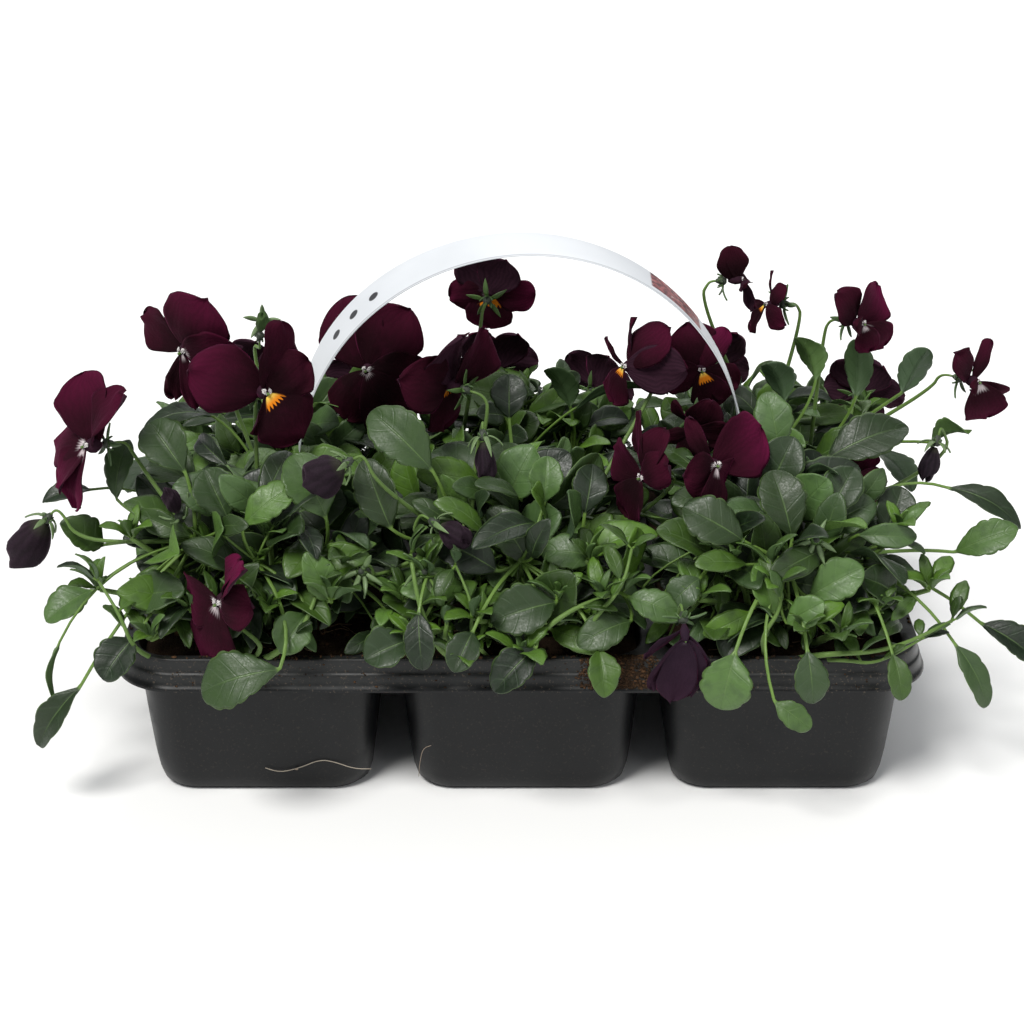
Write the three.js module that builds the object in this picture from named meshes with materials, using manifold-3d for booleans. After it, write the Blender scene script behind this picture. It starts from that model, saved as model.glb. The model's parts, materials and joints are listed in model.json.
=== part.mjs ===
// Six-cell bedding tray of young dark pansies with a carry strip over the middle.
// Millimetres, +Z up, the front of the tray towards -Y. The origin is the middle of
// the footprint, on the surface that the tray stands on.
import * as THREE from 'three';
import { mergeVertices } from 'three/addons/utils/BufferGeometryUtils.js';
import Module from 'manifold-3d';

const wasm = await Module();
wasm.setup();

// ---------------------------------------------------------------- driving dimensions
const TRAY = {
  length: 280, depth: 184, height: 56, corner: 23,
  skirt: 11.2, wall: 1.2,
};
const CELL = {
  pitchX: 90, pitchY: 90, length: 82, depth: 80, corner: 12,
  draft: 4, fillet: 6, drainHole: 3.5,
};
const SOIL = { top: 52.5, gap: 0.3, holeRadius: 4.4, holeFloor: 40 };
const STRIP = {
  radius: 81, top: 176, width: 20, thickness: 0.8,
  neck: 6, barb: 7, barbTop: 52.5, barbFoot: 45, taperTop: 82, taperFoot: 63,
};
const PLANT = {
  crownRadius: 3.4, crownFloor: 40.4, crownTop: 60,
  branches: 6, branchReach: 25, branchTop: 84, branchRadius: 1.9,
  stalkRadius: 0.85, petioleWidth: 1.5, petioleThickness: 1.2,
};
const LEAF = { ribThickness: 1.2, arch: 0.07, cup: 0.1, toothDepth: 0.12, largeLength: 20, stalkArc: 0.3 };
const BLOOM = { coreRadius: 3.2, coreFront: 3, coreBack: 4.6, petalThickness: 1.2 };
const CALYX = { gap: 0.3, sepal: 6.5, waist: 2.6, length: 3.2 };

const COLOURS = {
  tray: { color: 0x16171a, roughness: 0.42, metalness: 0 },
  strip: { color: 0xe4e9f0, roughness: 0.38, metalness: 0 },
  soil: { color: 0x35261b, roughness: 1, metalness: 0 },
  green: { color: 0x3f6b35, roughness: 0.6, metalness: 0 },
  petal: { color: 0x2a0716, roughness: 0.75, metalness: 0 },
  bud: { color: 0x3a0c20, roughness: 0.8, metalness: 0 },
};

// Edges shorter than this, left where two solids join, are closed up.
const SEAM_TOLERANCE = 0.02;

const TURN = 2 * Math.PI;
const GOLDEN_ANGLE = Math.PI * (3 - Math.sqrt(5));
const UP = new THREE.Vector3(0, 0, 1);
const vec = (x, y, z) => new THREE.Vector3(x, y, z);

// ---------------------------------------------------------------- seeded random draw
function seededRandom(seed) {
  let state = seed >>> 0;
  return () => {
    state = (state + 0x6d2b79f5) >>> 0;
    let mix = Math.imul(state ^ (state >>> 15), state | 1);
    mix = (mix + Math.imul(mix ^ (mix >>> 7), mix | 61)) ^ mix;
    return ((mix ^ (mix >>> 14)) >>> 0) / 4294967296;
  };
}

// ---------------------------------------------------------------- solids
function solidOf(points, faces) {
  let volume = 0;
  for (const [a, b, c] of faces) {
    volume += points[a].dot(points[b].clone().cross(points[c]));
  }
  const turned = volume < 0 ? faces.map(([a, b, c]) => [a, c, b]) : faces;
  const vertProperties = new Float32Array(points.flatMap((p) => [p.x, p.y, p.z]));
  const triVerts = new Uint32Array(turned.flat());
  const mesh = new wasm.Mesh({ numProp: 3, vertProperties, triVerts, tolerance: SEAM_TOLERANCE });
  return new wasm.Manifold(mesh);
}

function solidFromGeometry(geometry) {
  geometry.deleteAttribute('normal');
  geometry.deleteAttribute('uv');
  const merged = mergeVertices(geometry, 1e-4);
  const place = merged.getAttribute('position');
  const points = [];
  for (let i = 0; i < place.count; i++) {
    points.push(vec(place.getX(i), place.getY(i), place.getZ(i)));
  }
  const index = Array.from(merged.getIndex().array);
  const faces = [];
  for (let i = 0; i < index.length; i += 3) {
    faces.push(index.slice(i, i + 3));
  }
  return solidOf(points, faces);
}

function geometryFromSolid(solid) {
  const mesh = solid.getMesh();
  const count = mesh.vertProperties.length / mesh.numProp;
  const position = new Float32Array(count * 3);
  for (let i = 0; i < count; i++) {
    for (let k = 0; k < 3; k++) {
      position[i * 3 + k] = mesh.vertProperties[i * mesh.numProp + k];
    }
  }
  const geometry = new THREE.BufferGeometry();
  geometry.setAttribute('position', new THREE.BufferAttribute(position, 3));
  geometry.setIndex(Array.from(mesh.triVerts));
  geometry.computeVertexNormals();
  return geometry;
}

function fuse(solids) {
  if (solids.length === 1) return solids[0];
  const half = Math.ceil(solids.length / 2);
  return fuse(solids.slice(0, half)).add(fuse(solids.slice(half)));
}

// A closed skin through rings of equal point count, each end closed by a fan.
function loft(rings) {
  const count = rings[0].length;
  const points = rings.flat();
  const faces = [];
  for (let r = 0; r + 1 < rings.length; r++) {
    for (let i = 0; i < count; i++) {
      const a = r * count + i;
      const b = r * count + ((i + 1) % count);
      faces.push([a, b, b + count], [a, b + count, a + count]);
    }
  }
  const centreOf = (ring) => ring.reduce((sum, p) => sum.add(p), vec(0, 0, 0)).divideScalar(count);
  const foot = points.push(centreOf(rings[0])) - 1;
  const head = points.push(centreOf(rings[rings.length - 1])) - 1;
  const last = (rings.length - 1) * count;
  for (let i = 0; i < count; i++) {
    const next = (i + 1) % count;
    faces.push([foot, next, i], [head, last + i, last + next]);
  }
  return solidOf(points, faces);
}

// One level ring of a rounded rectangle.
function roundedRing(length, depth, corner, z, segments, cx = 0, cy = 0) {
  const ring = [];
  for (let quarter = 0; quarter < 4; quarter++) {
    const sx = quarter === 0 || quarter === 3 ? 1 : -1;
    const sy = quarter < 2 ? 1 : -1;
    for (let k = 0; k <= segments; k++) {
      const angle = (quarter + k / segments) * TURN / 4;
      const x = cx + sx * (length / 2 - corner) + corner * Math.cos(angle);
      const y = cy + sy * (depth / 2 - corner) + corner * Math.sin(angle);
      ring.push(vec(x, y, z));
    }
  }
  return ring;
}

// A curve that runs straight from point to point.
class Polyline extends THREE.Curve {
  constructor(points) {
    super();
    this.points = points;
  }

  getUtoTmapping(u) {
    return u;
  }

  getPoint(t) {
    const spans = this.points.length - 1;
    const index = Math.min(Math.floor(t * spans), spans - 1);
    return this.points[index].clone().lerp(this.points[index + 1], t * spans - index);
  }
}

// A rod of even section from point to point.
function rod(points, radius, sides) {
  const section = new THREE.Shape();
  for (let k = 0; k < sides; k++) {
    const angle = TURN * k / sides;
    const move = k === 0 ? 'moveTo' : 'lineTo';
    section[move](radius * Math.cos(angle), radius * Math.sin(angle));
  }
  const extrudePath = new Polyline(points);
  const steps = points.length - 1;
  const settings = { steps, curveSegments: 1, bevelEnabled: false, extrudePath };
  return solidFromGeometry(new THREE.ExtrudeGeometry(section, settings));
}

// A thin blade: rows of left, middle and right points between a root and a tip point,
// with the same triangles on both faces.
function blade(root, rows, tip) {
  const points = [root, tip];
  for (const row of rows) {
    const lift = row.normal.clone().multiplyScalar(row.thickness / 2);
    points.push(row.left, row.middle.clone().add(lift), row.right, row.middle.clone().sub(lift));
  }
  const faces = [];
  const [L, T, R, B] = [2, 3, 4, 5];
  faces.push([0, R, T], [0, T, L], [0, B, R], [0, L, B]);
  for (let i = 0; i + 1 < rows.length; i++) {
    const a = i * 4;
    const b = a + 4;
    faces.push([L + a, T + a, T + b], [L + a, T + b, L + b]);
    faces.push([L + a, B + b, B + a], [L + a, L + b, B + b]);
    faces.push([T + a, R + a, T + b], [R + a, R + b, T + b]);
    faces.push([B + a, B + b, R + a], [R + a, B + b, R + b]);
  }
  const e = (rows.length - 1) * 4;
  faces.push([T + e, R + e, 1], [L + e, T + e, 1], [B + e, 1, R + e], [L + e, 1, B + e]);
  return solidOf(points, faces);
}

// ---------------------------------------------------------------- tray
function cellCentres() {
  const centres = [];
  for (const row of [-1, 1]) {
    for (const column of [-1, 0, 1]) {
      centres.push(vec(column * CELL.pitchX, row * CELL.pitchY / 2, 0));
    }
  }
  return centres;
}

// The cell's inner face, or its outer face at a negative inset, from floor to brim.
function cellRings(centre, inset, floor, brim) {
  const ringAt = (z, tuck) => {
    const narrow = 2 * (CELL.draft * (TRAY.height - z) / TRAY.height + tuck + inset);
    const corner = Math.max(CELL.corner - inset - tuck * 0.4, 4);
    return roundedRing(CELL.length - narrow, CELL.depth - narrow, corner, z, 2, centre.x, centre.y);
  };
  const f = CELL.fillet;
  return [ringAt(floor, f * 0.6), ringAt(floor + f * 0.6, f * 0.05), ringAt(brim, 0)];
}

function makeTray() {
  const { length, depth, corner, height, skirt, wall } = TRAY;
  const lip = height - skirt;
  const profile = [
    [0, lip], [0, lip + 1], [1.3, lip + 2.4], [1.6, lip + 5.8],
    [2.6, lip + 6.3], [2.9, height - 1], [4.4, height],
  ];
  const cavity = [
    [wall, lip - 2], [wall, lip + 1], [wall + 1.4, lip + 2.6],
    [wall + 2.6, lip + 6.6], [wall + 2.9, height - 2], [wall + 4.2, height - wall],
  ];
  const ringOf = ([inset, z]) =>
    roundedRing(length - 2 * inset, depth - 2 * inset, corner - inset, z, 5);
  let tray = loft(profile.map(ringOf)).subtract(loft(cavity.map(ringOf)));
  const centres = cellCentres();
  const cups = centres.map((c) => loft(cellRings(c, -wall, 0, height - wall / 2)));
  const hollows = centres.map((c) => loft(cellRings(c, 0, wall, height + 1)));
  tray = fuse([tray, ...cups]).subtract(fuse(hollows));
  const holes = [];
  for (const c of centres) {
    for (const side of [-1, 1]) {
      const hole = new THREE.CylinderGeometry(CELL.drainHole, CELL.drainHole, 4 * wall, 6);
      hole.rotateX(Math.PI / 2);
      hole.translate(c.x + side * 15, c.y + side * 12, wall / 2);
      holes.push(solidFromGeometry(hole));
    }
  }
  for (const side of [-1, 1]) {
    const slot = new THREE.BoxGeometry(2 * STRIP.thickness, STRIP.barb + 0.4, 4 * wall);
    slot.translate(side * STRIP.radius, 0, height);
    holes.push(solidFromGeometry(slot));
  }
  return tray.subtract(fuse(holes));
}

// ---------------------------------------------------------------- carry strip
// Stations along the band: place in the X-Z plane, outward direction, half width.
function stripStations() {
  const { radius, top, width, neck, barb } = STRIP;
  const centreZ = top - radius;
  const leg = [
    [STRIP.barbFoot, neck / 4], [STRIP.barbTop - 1.4, barb / 2], [STRIP.barbTop - 0.7, neck / 2],
    [STRIP.taperFoot, neck / 2], [STRIP.taperTop, width / 2],
  ];
  const up = leg.map(([z, half]) => ({ x: -radius, z, out: vec(-1, 0, 0), half }));
  const down = leg.map(([z, half]) => ({ x: radius, z, out: vec(1, 0, 0), half })).reverse();
  const arch = [];
  const steps = 26;
  for (let k = 0; k <= steps; k++) {
    const angle = Math.PI * (1 - k / steps);
    const out = vec(Math.cos(angle), 0, Math.sin(angle));
    arch.push({ x: radius * out.x, z: centreZ + radius * out.z, out, half: width / 2 });
  }
  return [...up, ...arch, ...down];
}

function makeStrip() {
  const rings = stripStations().map(({ x, z, out, half }) => {
    const corners = [[1, -1], [1, 1], [-1, 1], [-1, -1]];
    return corners.map(([face, side]) =>
      vec(x, side * half, z).addScaledVector(out, face * STRIP.thickness / 2));
  });
  return loft(rings);
}

// ---------------------------------------------------------------- soil
function makeSoil(centre, index) {
  const random = seededRandom(100 + index);
  const floor = TRAY.wall + SOIL.gap;
  const rings = cellRings(centre, SOIL.gap, floor, SOIL.top - 2);
  const brim = rings[rings.length - 1];
  const swell = (share, rise) => brim.map((p) => {
    const spot = p.clone().lerp(vec(centre.x, centre.y, p.z), 1 - share);
    spot.z = SOIL.top + rise + 1.6 * (random() - 0.5);
    return spot;
  });
  const hole = (z) => brim.map((p) => {
    const out = p.clone().sub(vec(centre.x, centre.y, p.z)).normalize();
    return vec(centre.x, centre.y, z).addScaledVector(out, SOIL.holeRadius);
  });
  rings.push(swell(0.84, -0.2), swell(0.45, 1));
  rings.push(hole(SOIL.top + 0.4), hole(SOIL.holeFloor));
  return loft(rings);
}

// ---------------------------------------------------------------- blooms
// Unit vector that a face looks along: turn 0 is towards the front, + to the right.
function facing(turn, rise) {
  const a = THREE.MathUtils.degToRad(turn);
  const b = THREE.MathUtils.degToRad(rise);
  return vec(Math.sin(a) * Math.cos(b), -Math.cos(a) * Math.cos(b), Math.sin(b));
}

// name, plant, x, y, z of the throat, turn, rise, petal length
const BLOOMS = [
  ['bloom_01', 0, -148, -50, 118, -55, 5, 24],
  ['bloom_02', 0, -118, -20, 142, -38, -8, 22],
  ['bloom_03', 0, -87, -46, 136, 25, 8, 22],
  ['bloom_04', 4, -57, 26, 118, -15, 8, 24],
  ['bloom_05', 4, -11, 32, 147, 170, 12, 17],
  ['bloom_06', 1, -25, -24, 131, -125, 5, 21],
  ['bloom_07', 1, 38, -6, 131, -55, 5, 17],
  ['bloom_08', 5, 68, 28, 117, 5, 10, 16],
  ['bloom_09', 2, 62, -22, 113, 0, -20, 12],
  ['bloom_10', 2, 66, -58, 114, 25, 15, 19],
  ['bloom_11', 1, 42, -54, 108, -55, 0, 17],
  ['bloom_12', 5, 82, 36, 150, 80, 5, 12],
  ['bloom_13', 5, 91, 22, 145, -65, 5, 12],
  ['bloom_14', 5, 124, 12, 141, 45, 5, 15],
  ['bloom_15', 5, 165, 0, 123, 50, 0, 15],
  ['bloom_16', 2, 118, -36, 101, 10, 40, 12],
  ['bloom_17', 0, -100, -92, 79, -42, -8, 20],
  ['bloom_18', 2, 54, -104, 72, 5, -40, 12],
  ['bloom_19', 3, -116, 76, 98, 200, 10, 20],
  ['bloom_20', 4, -60, 84, 94, 165, 5, 20],
  ['bloom_21', 4, -10, 76, 102, 190, 15, 19],
  ['bloom_22', 4, 32, 92, 88, 150, 5, 18],
  ['bloom_23', 5, 74, 78, 100, 185, 10, 20],
  ['bloom_24', 5, 136, 70, 94, 150, 8, 17],
];

// name, plant, x, y, z of the middle, direction of the tip (x, y, z), length, radius
const BUDS = [
  ['bud_01', 0, -172, -50, 81, -0.6, 0.1, -0.8, 22, 6],
  ['bud_02', 1, -66, -74, 117, -0.85, 0, -0.5, 15, 5],
  ['bud_03', 1, -12, -54, 113, 0.1, -0.3, -1, 15, 3.6],
  ['bud_04', 3, -94, 12, 142, 0.2, -0.3, 1, 9, 3],
  ['bud_05', 0, -119, -62, 103, -0.3, -0.3, 1, 11, 3],
  ['bud_06', 2, 147, -18, 98, -0.3, -0.25, -1, 13, 3.6],
  ['bud_07', 1, -22, -78, 97, 0.8, -0.3, -0.4, 12, 3.2],
];

// Spent calyces whose petals have dropped: plant, x, y, z, turn, rise
const SPENT = [
  [2, 99, -80, 96, 0, 10],
  [1, -54, -84, 86, -20, 0],
  [1, -32, -84, 86, 15, 5],
];

// Petals in layers: turn from the top, length, width, layer along the face, lean of the tip
const PETALS = [
  [-28, 1.0, 0.98, -3.0, -0.14],
  [29, 1.0, 0.98, -1.3, -0.1],
  [-97, 0.92, 0.86, 0.4, 0.02],
  [99, 0.92, 0.86, 0.5, 0.02],
  [180, 0.98, 1.16, 1.3, -0.06],
];
const PETAL_ROWS = [0.34, 0.62, 0.88];
const SMALL_BLOOM = { size: 20, rows: [0.46, 0.85] };

function petalWidth(t) {
  return Math.pow(Math.sin(Math.PI * Math.pow(t, 1.3)), 0.6);
}

// The bloom's own axes: out of its face, up its face and to the viewer's right.
function bloomAxes(normal) {
  const up = UP.clone().addScaledVector(normal, -UP.dot(normal)).normalize();
  const right = up.clone().cross(normal);
  return { up, right };
}

function petalRows(centre, normal, size, petal, index) {
  const [turn, long, wide, layer, lean] = petal;
  const { up, right } = bloomAxes(normal);
  const angle = THREE.MathUtils.degToRad(turn);
  const along = up.clone().multiplyScalar(Math.cos(angle)).addScaledVector(right, Math.sin(angle));
  const side = along.clone().cross(normal);
  const spot = (t, across) => {
    const wave = 0.02 * Math.sin(9 * t + 2 * index) * Math.sign(across);
    const rise = lean * t * t + 0.1 * Math.sin(Math.PI * t) + (wave - 0.03) * Math.abs(across);
    return centre.clone()
      .addScaledVector(normal, layer + rise * size)
      .addScaledVector(along, size * long * t)
      .addScaledVector(side, size * wide * 0.5 * across);
  };
  const shares = size > SMALL_BLOOM.size ? PETAL_ROWS : SMALL_BLOOM.rows;
  const rows = shares.map((t) => ({
    left: spot(t, -petalWidth(t)),
    middle: spot(t, 0),
    right: spot(t, petalWidth(t)),
    normal,
    thickness: BLOOM.petalThickness,
  }));
  return { root: spot(0.04, 0), rows, tip: spot(1, 0) };
}

function makeBloom(centre, normal, size) {
  const { up, right } = bloomAxes(normal);
  const ring = [];
  for (let k = 0; k < 6; k++) {
    const angle = TURN * k / 6;
    ring.push(centre.clone()
      .addScaledVector(up, BLOOM.coreRadius * Math.cos(angle))
      .addScaledVector(right, BLOOM.coreRadius * Math.sin(angle)));
  }
  const front = centre.clone().addScaledVector(normal, BLOOM.coreFront);
  const back = centre.clone().addScaledVector(normal, -BLOOM.coreBack);
  const parts = [bipyramid(back, ring, front)];
  PETALS.forEach((petal, index) => {
    const { root, rows, tip } = petalRows(centre, normal, size, petal, index);
    parts.push(blade(root, rows, tip));
  });
  return fuse(parts);
}

function bipyramid(foot, ring, head) {
  const points = [...ring, foot, head];
  const count = ring.length;
  const faces = [];
  for (let i = 0; i < count; i++) {
    const next = (i + 1) % count;
    faces.push([count, next, i], [count + 1, i, next]);
  }
  return solidOf(points, faces);
}

// ---------------------------------------------------------------- buds
function makeBud(centre, direction, length, radius) {
  const profile = [[0, 0], [0.62, 0.16], [1, 0.42], [0.8, 0.74], [0, 1]];
  const outline = profile.map(([r, t]) => new THREE.Vector2(r * radius, t * length));
  const geometry = new THREE.LatheGeometry(outline, 7);
  const turn = new THREE.Quaternion().setFromUnitVectors(vec(0, 1, 0), direction);
  geometry.applyQuaternion(turn);
  const foot = centre.clone().addScaledVector(direction, -length / 2);
  geometry.translate(foot.x, foot.y, foot.z);
  return solidFromGeometry(geometry);
}

// ---------------------------------------------------------------- calyx and stalk
// A star of five sepals round a small cup; `front` is the side where the petals sit.
function makeCalyx(foot, direction, sepal) {
  const { up, right } = bloomAxes(direction);
  const ring = [];
  for (let k = 0; k < 10; k++) {
    const angle = TURN * k / 10;
    const reach = k % 2 === 0 ? sepal : CALYX.waist;
    ring.push(foot.clone()
      .addScaledVector(direction, -1.4)
      .addScaledVector(up, reach * Math.cos(angle))
      .addScaledVector(right, reach * Math.sin(angle)));
  }
  const back = foot.clone().addScaledVector(direction, -CALYX.length - 1.2);
  return bipyramid(back, ring, foot);
}

// From the stem, up past the flower's back and over in a hook to the calyx.
function stalkPoints(root, foot, direction) {
  const joint = foot.clone().addScaledVector(direction, -CALYX.length);
  const hook = foot.clone().addScaledVector(direction, -CALYX.length - 5);
  const level = vec(direction.x, direction.y, 0).normalize();
  const neck = foot.clone().addScaledVector(level, -11).addScaledVector(UP, -7);
  return [root, neck, hook, joint];
}

// ---------------------------------------------------------------- stems
function stemLines(centre) {
  const lines = [];
  for (let k = 0; k < PLANT.branches; k++) {
    const angle = TURN * (k + 0.5) / PLANT.branches;
    const reach = PLANT.branchReach * (1 + 0.1 * Math.sin(5 * k));
    const out = vec(Math.cos(angle), Math.sin(angle), 0);
    const start = vec(centre.x, centre.y, PLANT.crownTop - 3);
    const middle = vec(centre.x, centre.y, 71).addScaledVector(out, reach * 0.5);
    const end = vec(centre.x, centre.y, PLANT.branchTop + 5 * Math.sin(2.3 * k));
    lines.push([start, middle, end.addScaledVector(out, reach)]);
  }
  const crown = vec(centre.x, centre.y, PLANT.crownTop - 3);
  lines.push([crown, crown.clone().add(vec(1, 2, 18)), crown.clone().add(vec(-2, 4.5, 38))]);
  return lines;
}

// The closest point of the stems to a spot, away from the crown.
function nearestOnStems(lines, spot) {
  let best = null;
  let bestGap = Infinity;
  for (const line of lines) {
    for (let i = 0; i + 1 < line.length; i++) {
      for (let k = 1; k <= 5; k++) {
        const place = line[i].clone().lerp(line[i + 1], k / 5 - 0.05);
        const gap = place.distanceTo(spot);
        if (gap < bestGap && (i > 0 || k > 2)) {
          bestGap = gap;
          best = place;
        }
      }
    }
  }
  return best;
}

// ---------------------------------------------------------------- leaves
// Leaves that show in their own right: plant, base x, y, z, tip x, y, z, width, roll
const LEAVES = [
  // front left plant
  [0, -80, -104, 60, -107, -107, 55, 20, 10],
  [0, -134, -72, 70, -114, -84, 80, 16, 0],
  [0, -150, -88, 45, -167, -92, 24, 11, 0],
  [0, -158, -80, 57, -162, -86, 38, 9, 60],
  [0, -149, -60, 68, -164, -70, 62, 14, 0],
  [0, -147, -44, 78, -160, -50, 89, 13, 0],
  [0, -115, -54, 110, -128, -44, 125, 17, 0],
  [0, -142, -40, 94, -139, -34, 114, 12, 0],
  [0, -94, -70, 97, -77, -68, 112, 13, 0],
  [0, -100, -62, 96, -108, -56, 112, 16, 0],
  [0, -66, -68, 99, -76, -62, 120, 19, 0],
  [0, -110, -16, 116, -133, -22, 119, 12, 20],
  [0, -152, -34, 95, -167, -42, 96, 9, 0],
  [0, -72, -86, 72, -80, -98, 64, 14, 0],
  [0, -64, -82, 74, -70, -84, 92, 12, 0],
  [0, -130, -88, 64, -140, -99, 54, 15, 0],
  // front middle plant
  [1, -30, -60, 113, -50, -54, 133, 18, 0],
  [1, -44, -70, 96, -53, -62, 118, 15, 0],
  [1, -8, -74, 82, -29, -72, 94, 15, 0],
  [1, 3, -70, 82, -9, -66, 102, 14, 0],
  [1, 12, -86, 76, -9, -94, 74, 18, 0],
  [1, 36, -86, 78, 52, -94, 76, 12, 0],
  [1, -4, -14, 114, -4, -8, 129, 14, 0],
  [1, 8, -60, 101, 9, -54, 116, 12, 0],
  [1, 22, -58, 96, 25, -52, 112, 13, 0],
  [1, 26, -70, 85, 8, -72, 90, 14, 0],
  [1, 37, -88, 70, 20, -98, 68, 13, 10],
  [1, -37, -94, 66, -52, -100, 62, 15, 0],
  [1, -34, -93, 76, -33, -104, 60, 11, 0],
  [1, 5, -98, 65, -9, -108, 55, 14, 10],
  [1, -16, -96, 70, -22, -107, 61, 12, 0],
  [1, 26, -97, 64, 28, -109, 53, 11, 0],
  // front right plant
  [2, 75, -76, 94, 55, -74, 106, 17, 0],
  [2, 92, -70, 92, 86, -62, 114, 17, 0],
  [2, 108, -32, 106, 136, -28, 119, 18, 0],
  [2, 90, -38, 112, 86, -32, 131, 14, 0],
  [2, 104, -58, 90, 121, -58, 101, 15, 0],
  [2, 126, -52, 84, 133, -46, 101, 15, 0],
  [2, 97, -82, 76, 114, -84, 88, 15, 0],
  [2, 128, -72, 72, 116, -78, 82, 15, 0],
  [2, 152, -50, 78, 171, -56, 90, 13, 0],
  [2, 152, -30, 94, 178, -40, 87, 11, 0],
  [2, 160, -66, 58, 179, -74, 48, 13, 0],
  [2, 71, -100, 64, 66, -108, 47, 18, 0],
  [2, 85, -86, 72, 80, -82, 88, 11, 0],
  [2, 89, -90, 70, 100, -94, 80, 11, 0],
  [2, 84, -108, 50, 96, -112, 42, 9, 0],
  [2, 95, -100, 65, 97, -109, 50, 12, 0],
  [2, 124, -96, 62, 127, -106, 50, 9, 0],
  [2, 148, -82, 58, 160, -92, 40, 10, 0],
  [2, 60, -84, 84, 50, -90, 78, 12, 0],
  // back row, seen over the front row
  [4, 20, 12, 108, 52, 6, 124, 10, 0],
  [4, 19, 24, 104, 12, 22, 122, 13, 0],
  [5, 126, 24, 108, 126, 28, 130, 12, 0],
  [5, 98, 14, 110, 92, 12, 128, 13, 0],
  [5, 110, 20, 116, 105, 24, 133, 13, 0],
  [5, 142, 18, 112, 150, 18, 130, 12, 0],
  [5, 150, -4, 101, 161, -14, 112, 12, 0],
  // back row, hanging over the far rim
  [3, -104, 100, 62, -112, 110, 50, 16, 0],
  [3, -146, 82, 60, -163, 92, 44, 14, 0],
  [3, -76, 101, 64, -70, 112, 54, 13, 0],
  [4, -14, 102, 62, -22, 113, 52, 15, 0],
  [4, 30, 102, 64, 40, 112, 50, 15, 0],
  [5, 88, 102, 62, 80, 112, 50, 16, 0],
  [5, 146, 84, 62, 164, 93, 46, 14, 0],
];

function leafWidth(t) {
  return Math.sqrt(1 - Math.pow(Math.abs(2 * Math.pow(t, 1.3) - 1), 2.4));
}

// Face of a leaf: up, turned outwards from its plant and to its side of the tray.
function leafNormal(along, centre, base, roll) {
  const side = Math.sign(centre.y);
  const out = vec(base.x - centre.x, base.y - centre.y, 0).multiplyScalar(0.006);
  const hint = vec(0, side * 0.65, 0.75).add(out);
  const flat = hint.addScaledVector(along, -hint.dot(along)).normalize();
  return flat.applyAxisAngle(along, THREE.MathUtils.degToRad(roll));
}

// Where the leaf stalk runs: from the stem to the blade, lifted over the rim by the arc.
function petiolePoint({ root, base, arc }, t) {
  const lift = arc * root.distanceTo(base);
  const bend = root.clone().lerp(base, 0.5).addScaledVector(UP, lift);
  return root.clone().multiplyScalar((1 - t) ** 2)
    .addScaledVector(bend, 2 * t * (1 - t))
    .addScaledVector(base, t ** 2);
}

function leafSpot(leaf, t, across) {
  const rise = LEAF.arch * (4 * t * (1 - t) - t * t) * leaf.length;
  const cup = LEAF.cup * Math.abs(across) * leaf.width;
  return leaf.base.clone()
    .addScaledVector(leaf.along, leaf.length * t)
    .addScaledVector(leaf.normal, rise + cup)
    .addScaledVector(leaf.side, leaf.width * 0.5 * across);
}

function describeLeaf(lines, centre, base, tip, width, roll, shown) {
  const along = tip.clone().sub(base);
  const length = along.length();
  along.normalize();
  const normal = leafNormal(along, centre, base, roll);
  const side = along.clone().cross(normal);
  const root = nearestOnStems(lines, base);
  const overRim = Math.abs(base.x) > TRAY.length / 2 - 4 || Math.abs(base.y) > TRAY.depth / 2 - 4;
  const arc = overRim ? LEAF.stalkArc : 0;
  return { base, tip, length, width, along, normal, side, root, arc, shown };
}

function makeLeaf(leaf) {
  const hint = leaf.normal.clone().multiplyScalar(0.8).addScaledVector(leaf.along, -0.6);
  const stalkRow = (t) => {
    const middle = petiolePoint(leaf, t);
    const run = petiolePoint(leaf, t + 0.1).sub(middle).normalize();
    const across = run.clone().cross(hint).normalize();
    const edge = across.clone().multiplyScalar(PLANT.petioleWidth / 2);
    const normal = across.cross(run);
    const thickness = PLANT.petioleThickness;
    return { left: middle.clone().sub(edge), middle, right: middle.clone().add(edge), normal, thickness };
  };
  const bladeRow = (t, k) => {
    const tooth = 1 - (leaf.shown && k % 2 === 1 ? LEAF.toothDepth : 0);
    const half = leafWidth(t) * tooth;
    return {
      left: leafSpot(leaf, t, -half), middle: leafSpot(leaf, t, 0), right: leafSpot(leaf, t, half),
      normal: leaf.normal, thickness: LEAF.ribThickness,
    };
  };
  const stalk = leaf.arc > 0 ? [0.5, 1] : [1];
  const shown = leaf.length > LEAF.largeLength ? [0.2, 0.42, 0.64, 0.88] : [0.26, 0.55, 0.85];
  const shares = leaf.shown ? shown : [0.28, 0.78];
  const rows = [...stalk.map(stalkRow), ...shares.map(bladeRow)];
  return blade(leaf.root, rows, leafSpot(leaf, 1, 0));
}

// ---------------------------------------------------------------- room between pieces
// Spots on what is already placed, each with the piece it belongs to.
const taken = [];

function take(owner, spots) {
  for (const spot of spots) {
    taken.push({ owner, spot });
  }
}

function leafSpots(leaf) {
  const spots = [];
  for (const t of [0.4, 0.7, 1]) {
    spots.push(petiolePoint(leaf, t));
  }
  for (const t of [0.3, 0.65]) {
    for (const across of [-0.85, 0, 0.85]) {
      spots.push(leafSpot(leaf, t, across * leafWidth(t)));
    }
  }
  spots.push(leafSpot(leaf, 1, 0));
  return spots;
}

function bloomSpots(centre, normal, size) {
  const spots = [centre, centre.clone().addScaledVector(normal, -6)];
  PETALS.forEach((petal, index) => {
    const { rows, tip } = petalRows(centre, normal, size, petal, index);
    spots.push(tip);
    for (const row of rows) {
      spots.push(row.left, row.middle, row.right);
    }
  });
  return spots;
}

function lineSpots(points) {
  const spots = [points[0]];
  for (let i = 0; i + 1 < points.length; i++) {
    const count = Math.ceil(points[i].distanceTo(points[i + 1]) / 6);
    for (let k = 1; k <= count; k++) {
      spots.push(points[i].clone().lerp(points[i + 1], k / count));
    }
  }
  return spots;
}

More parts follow.
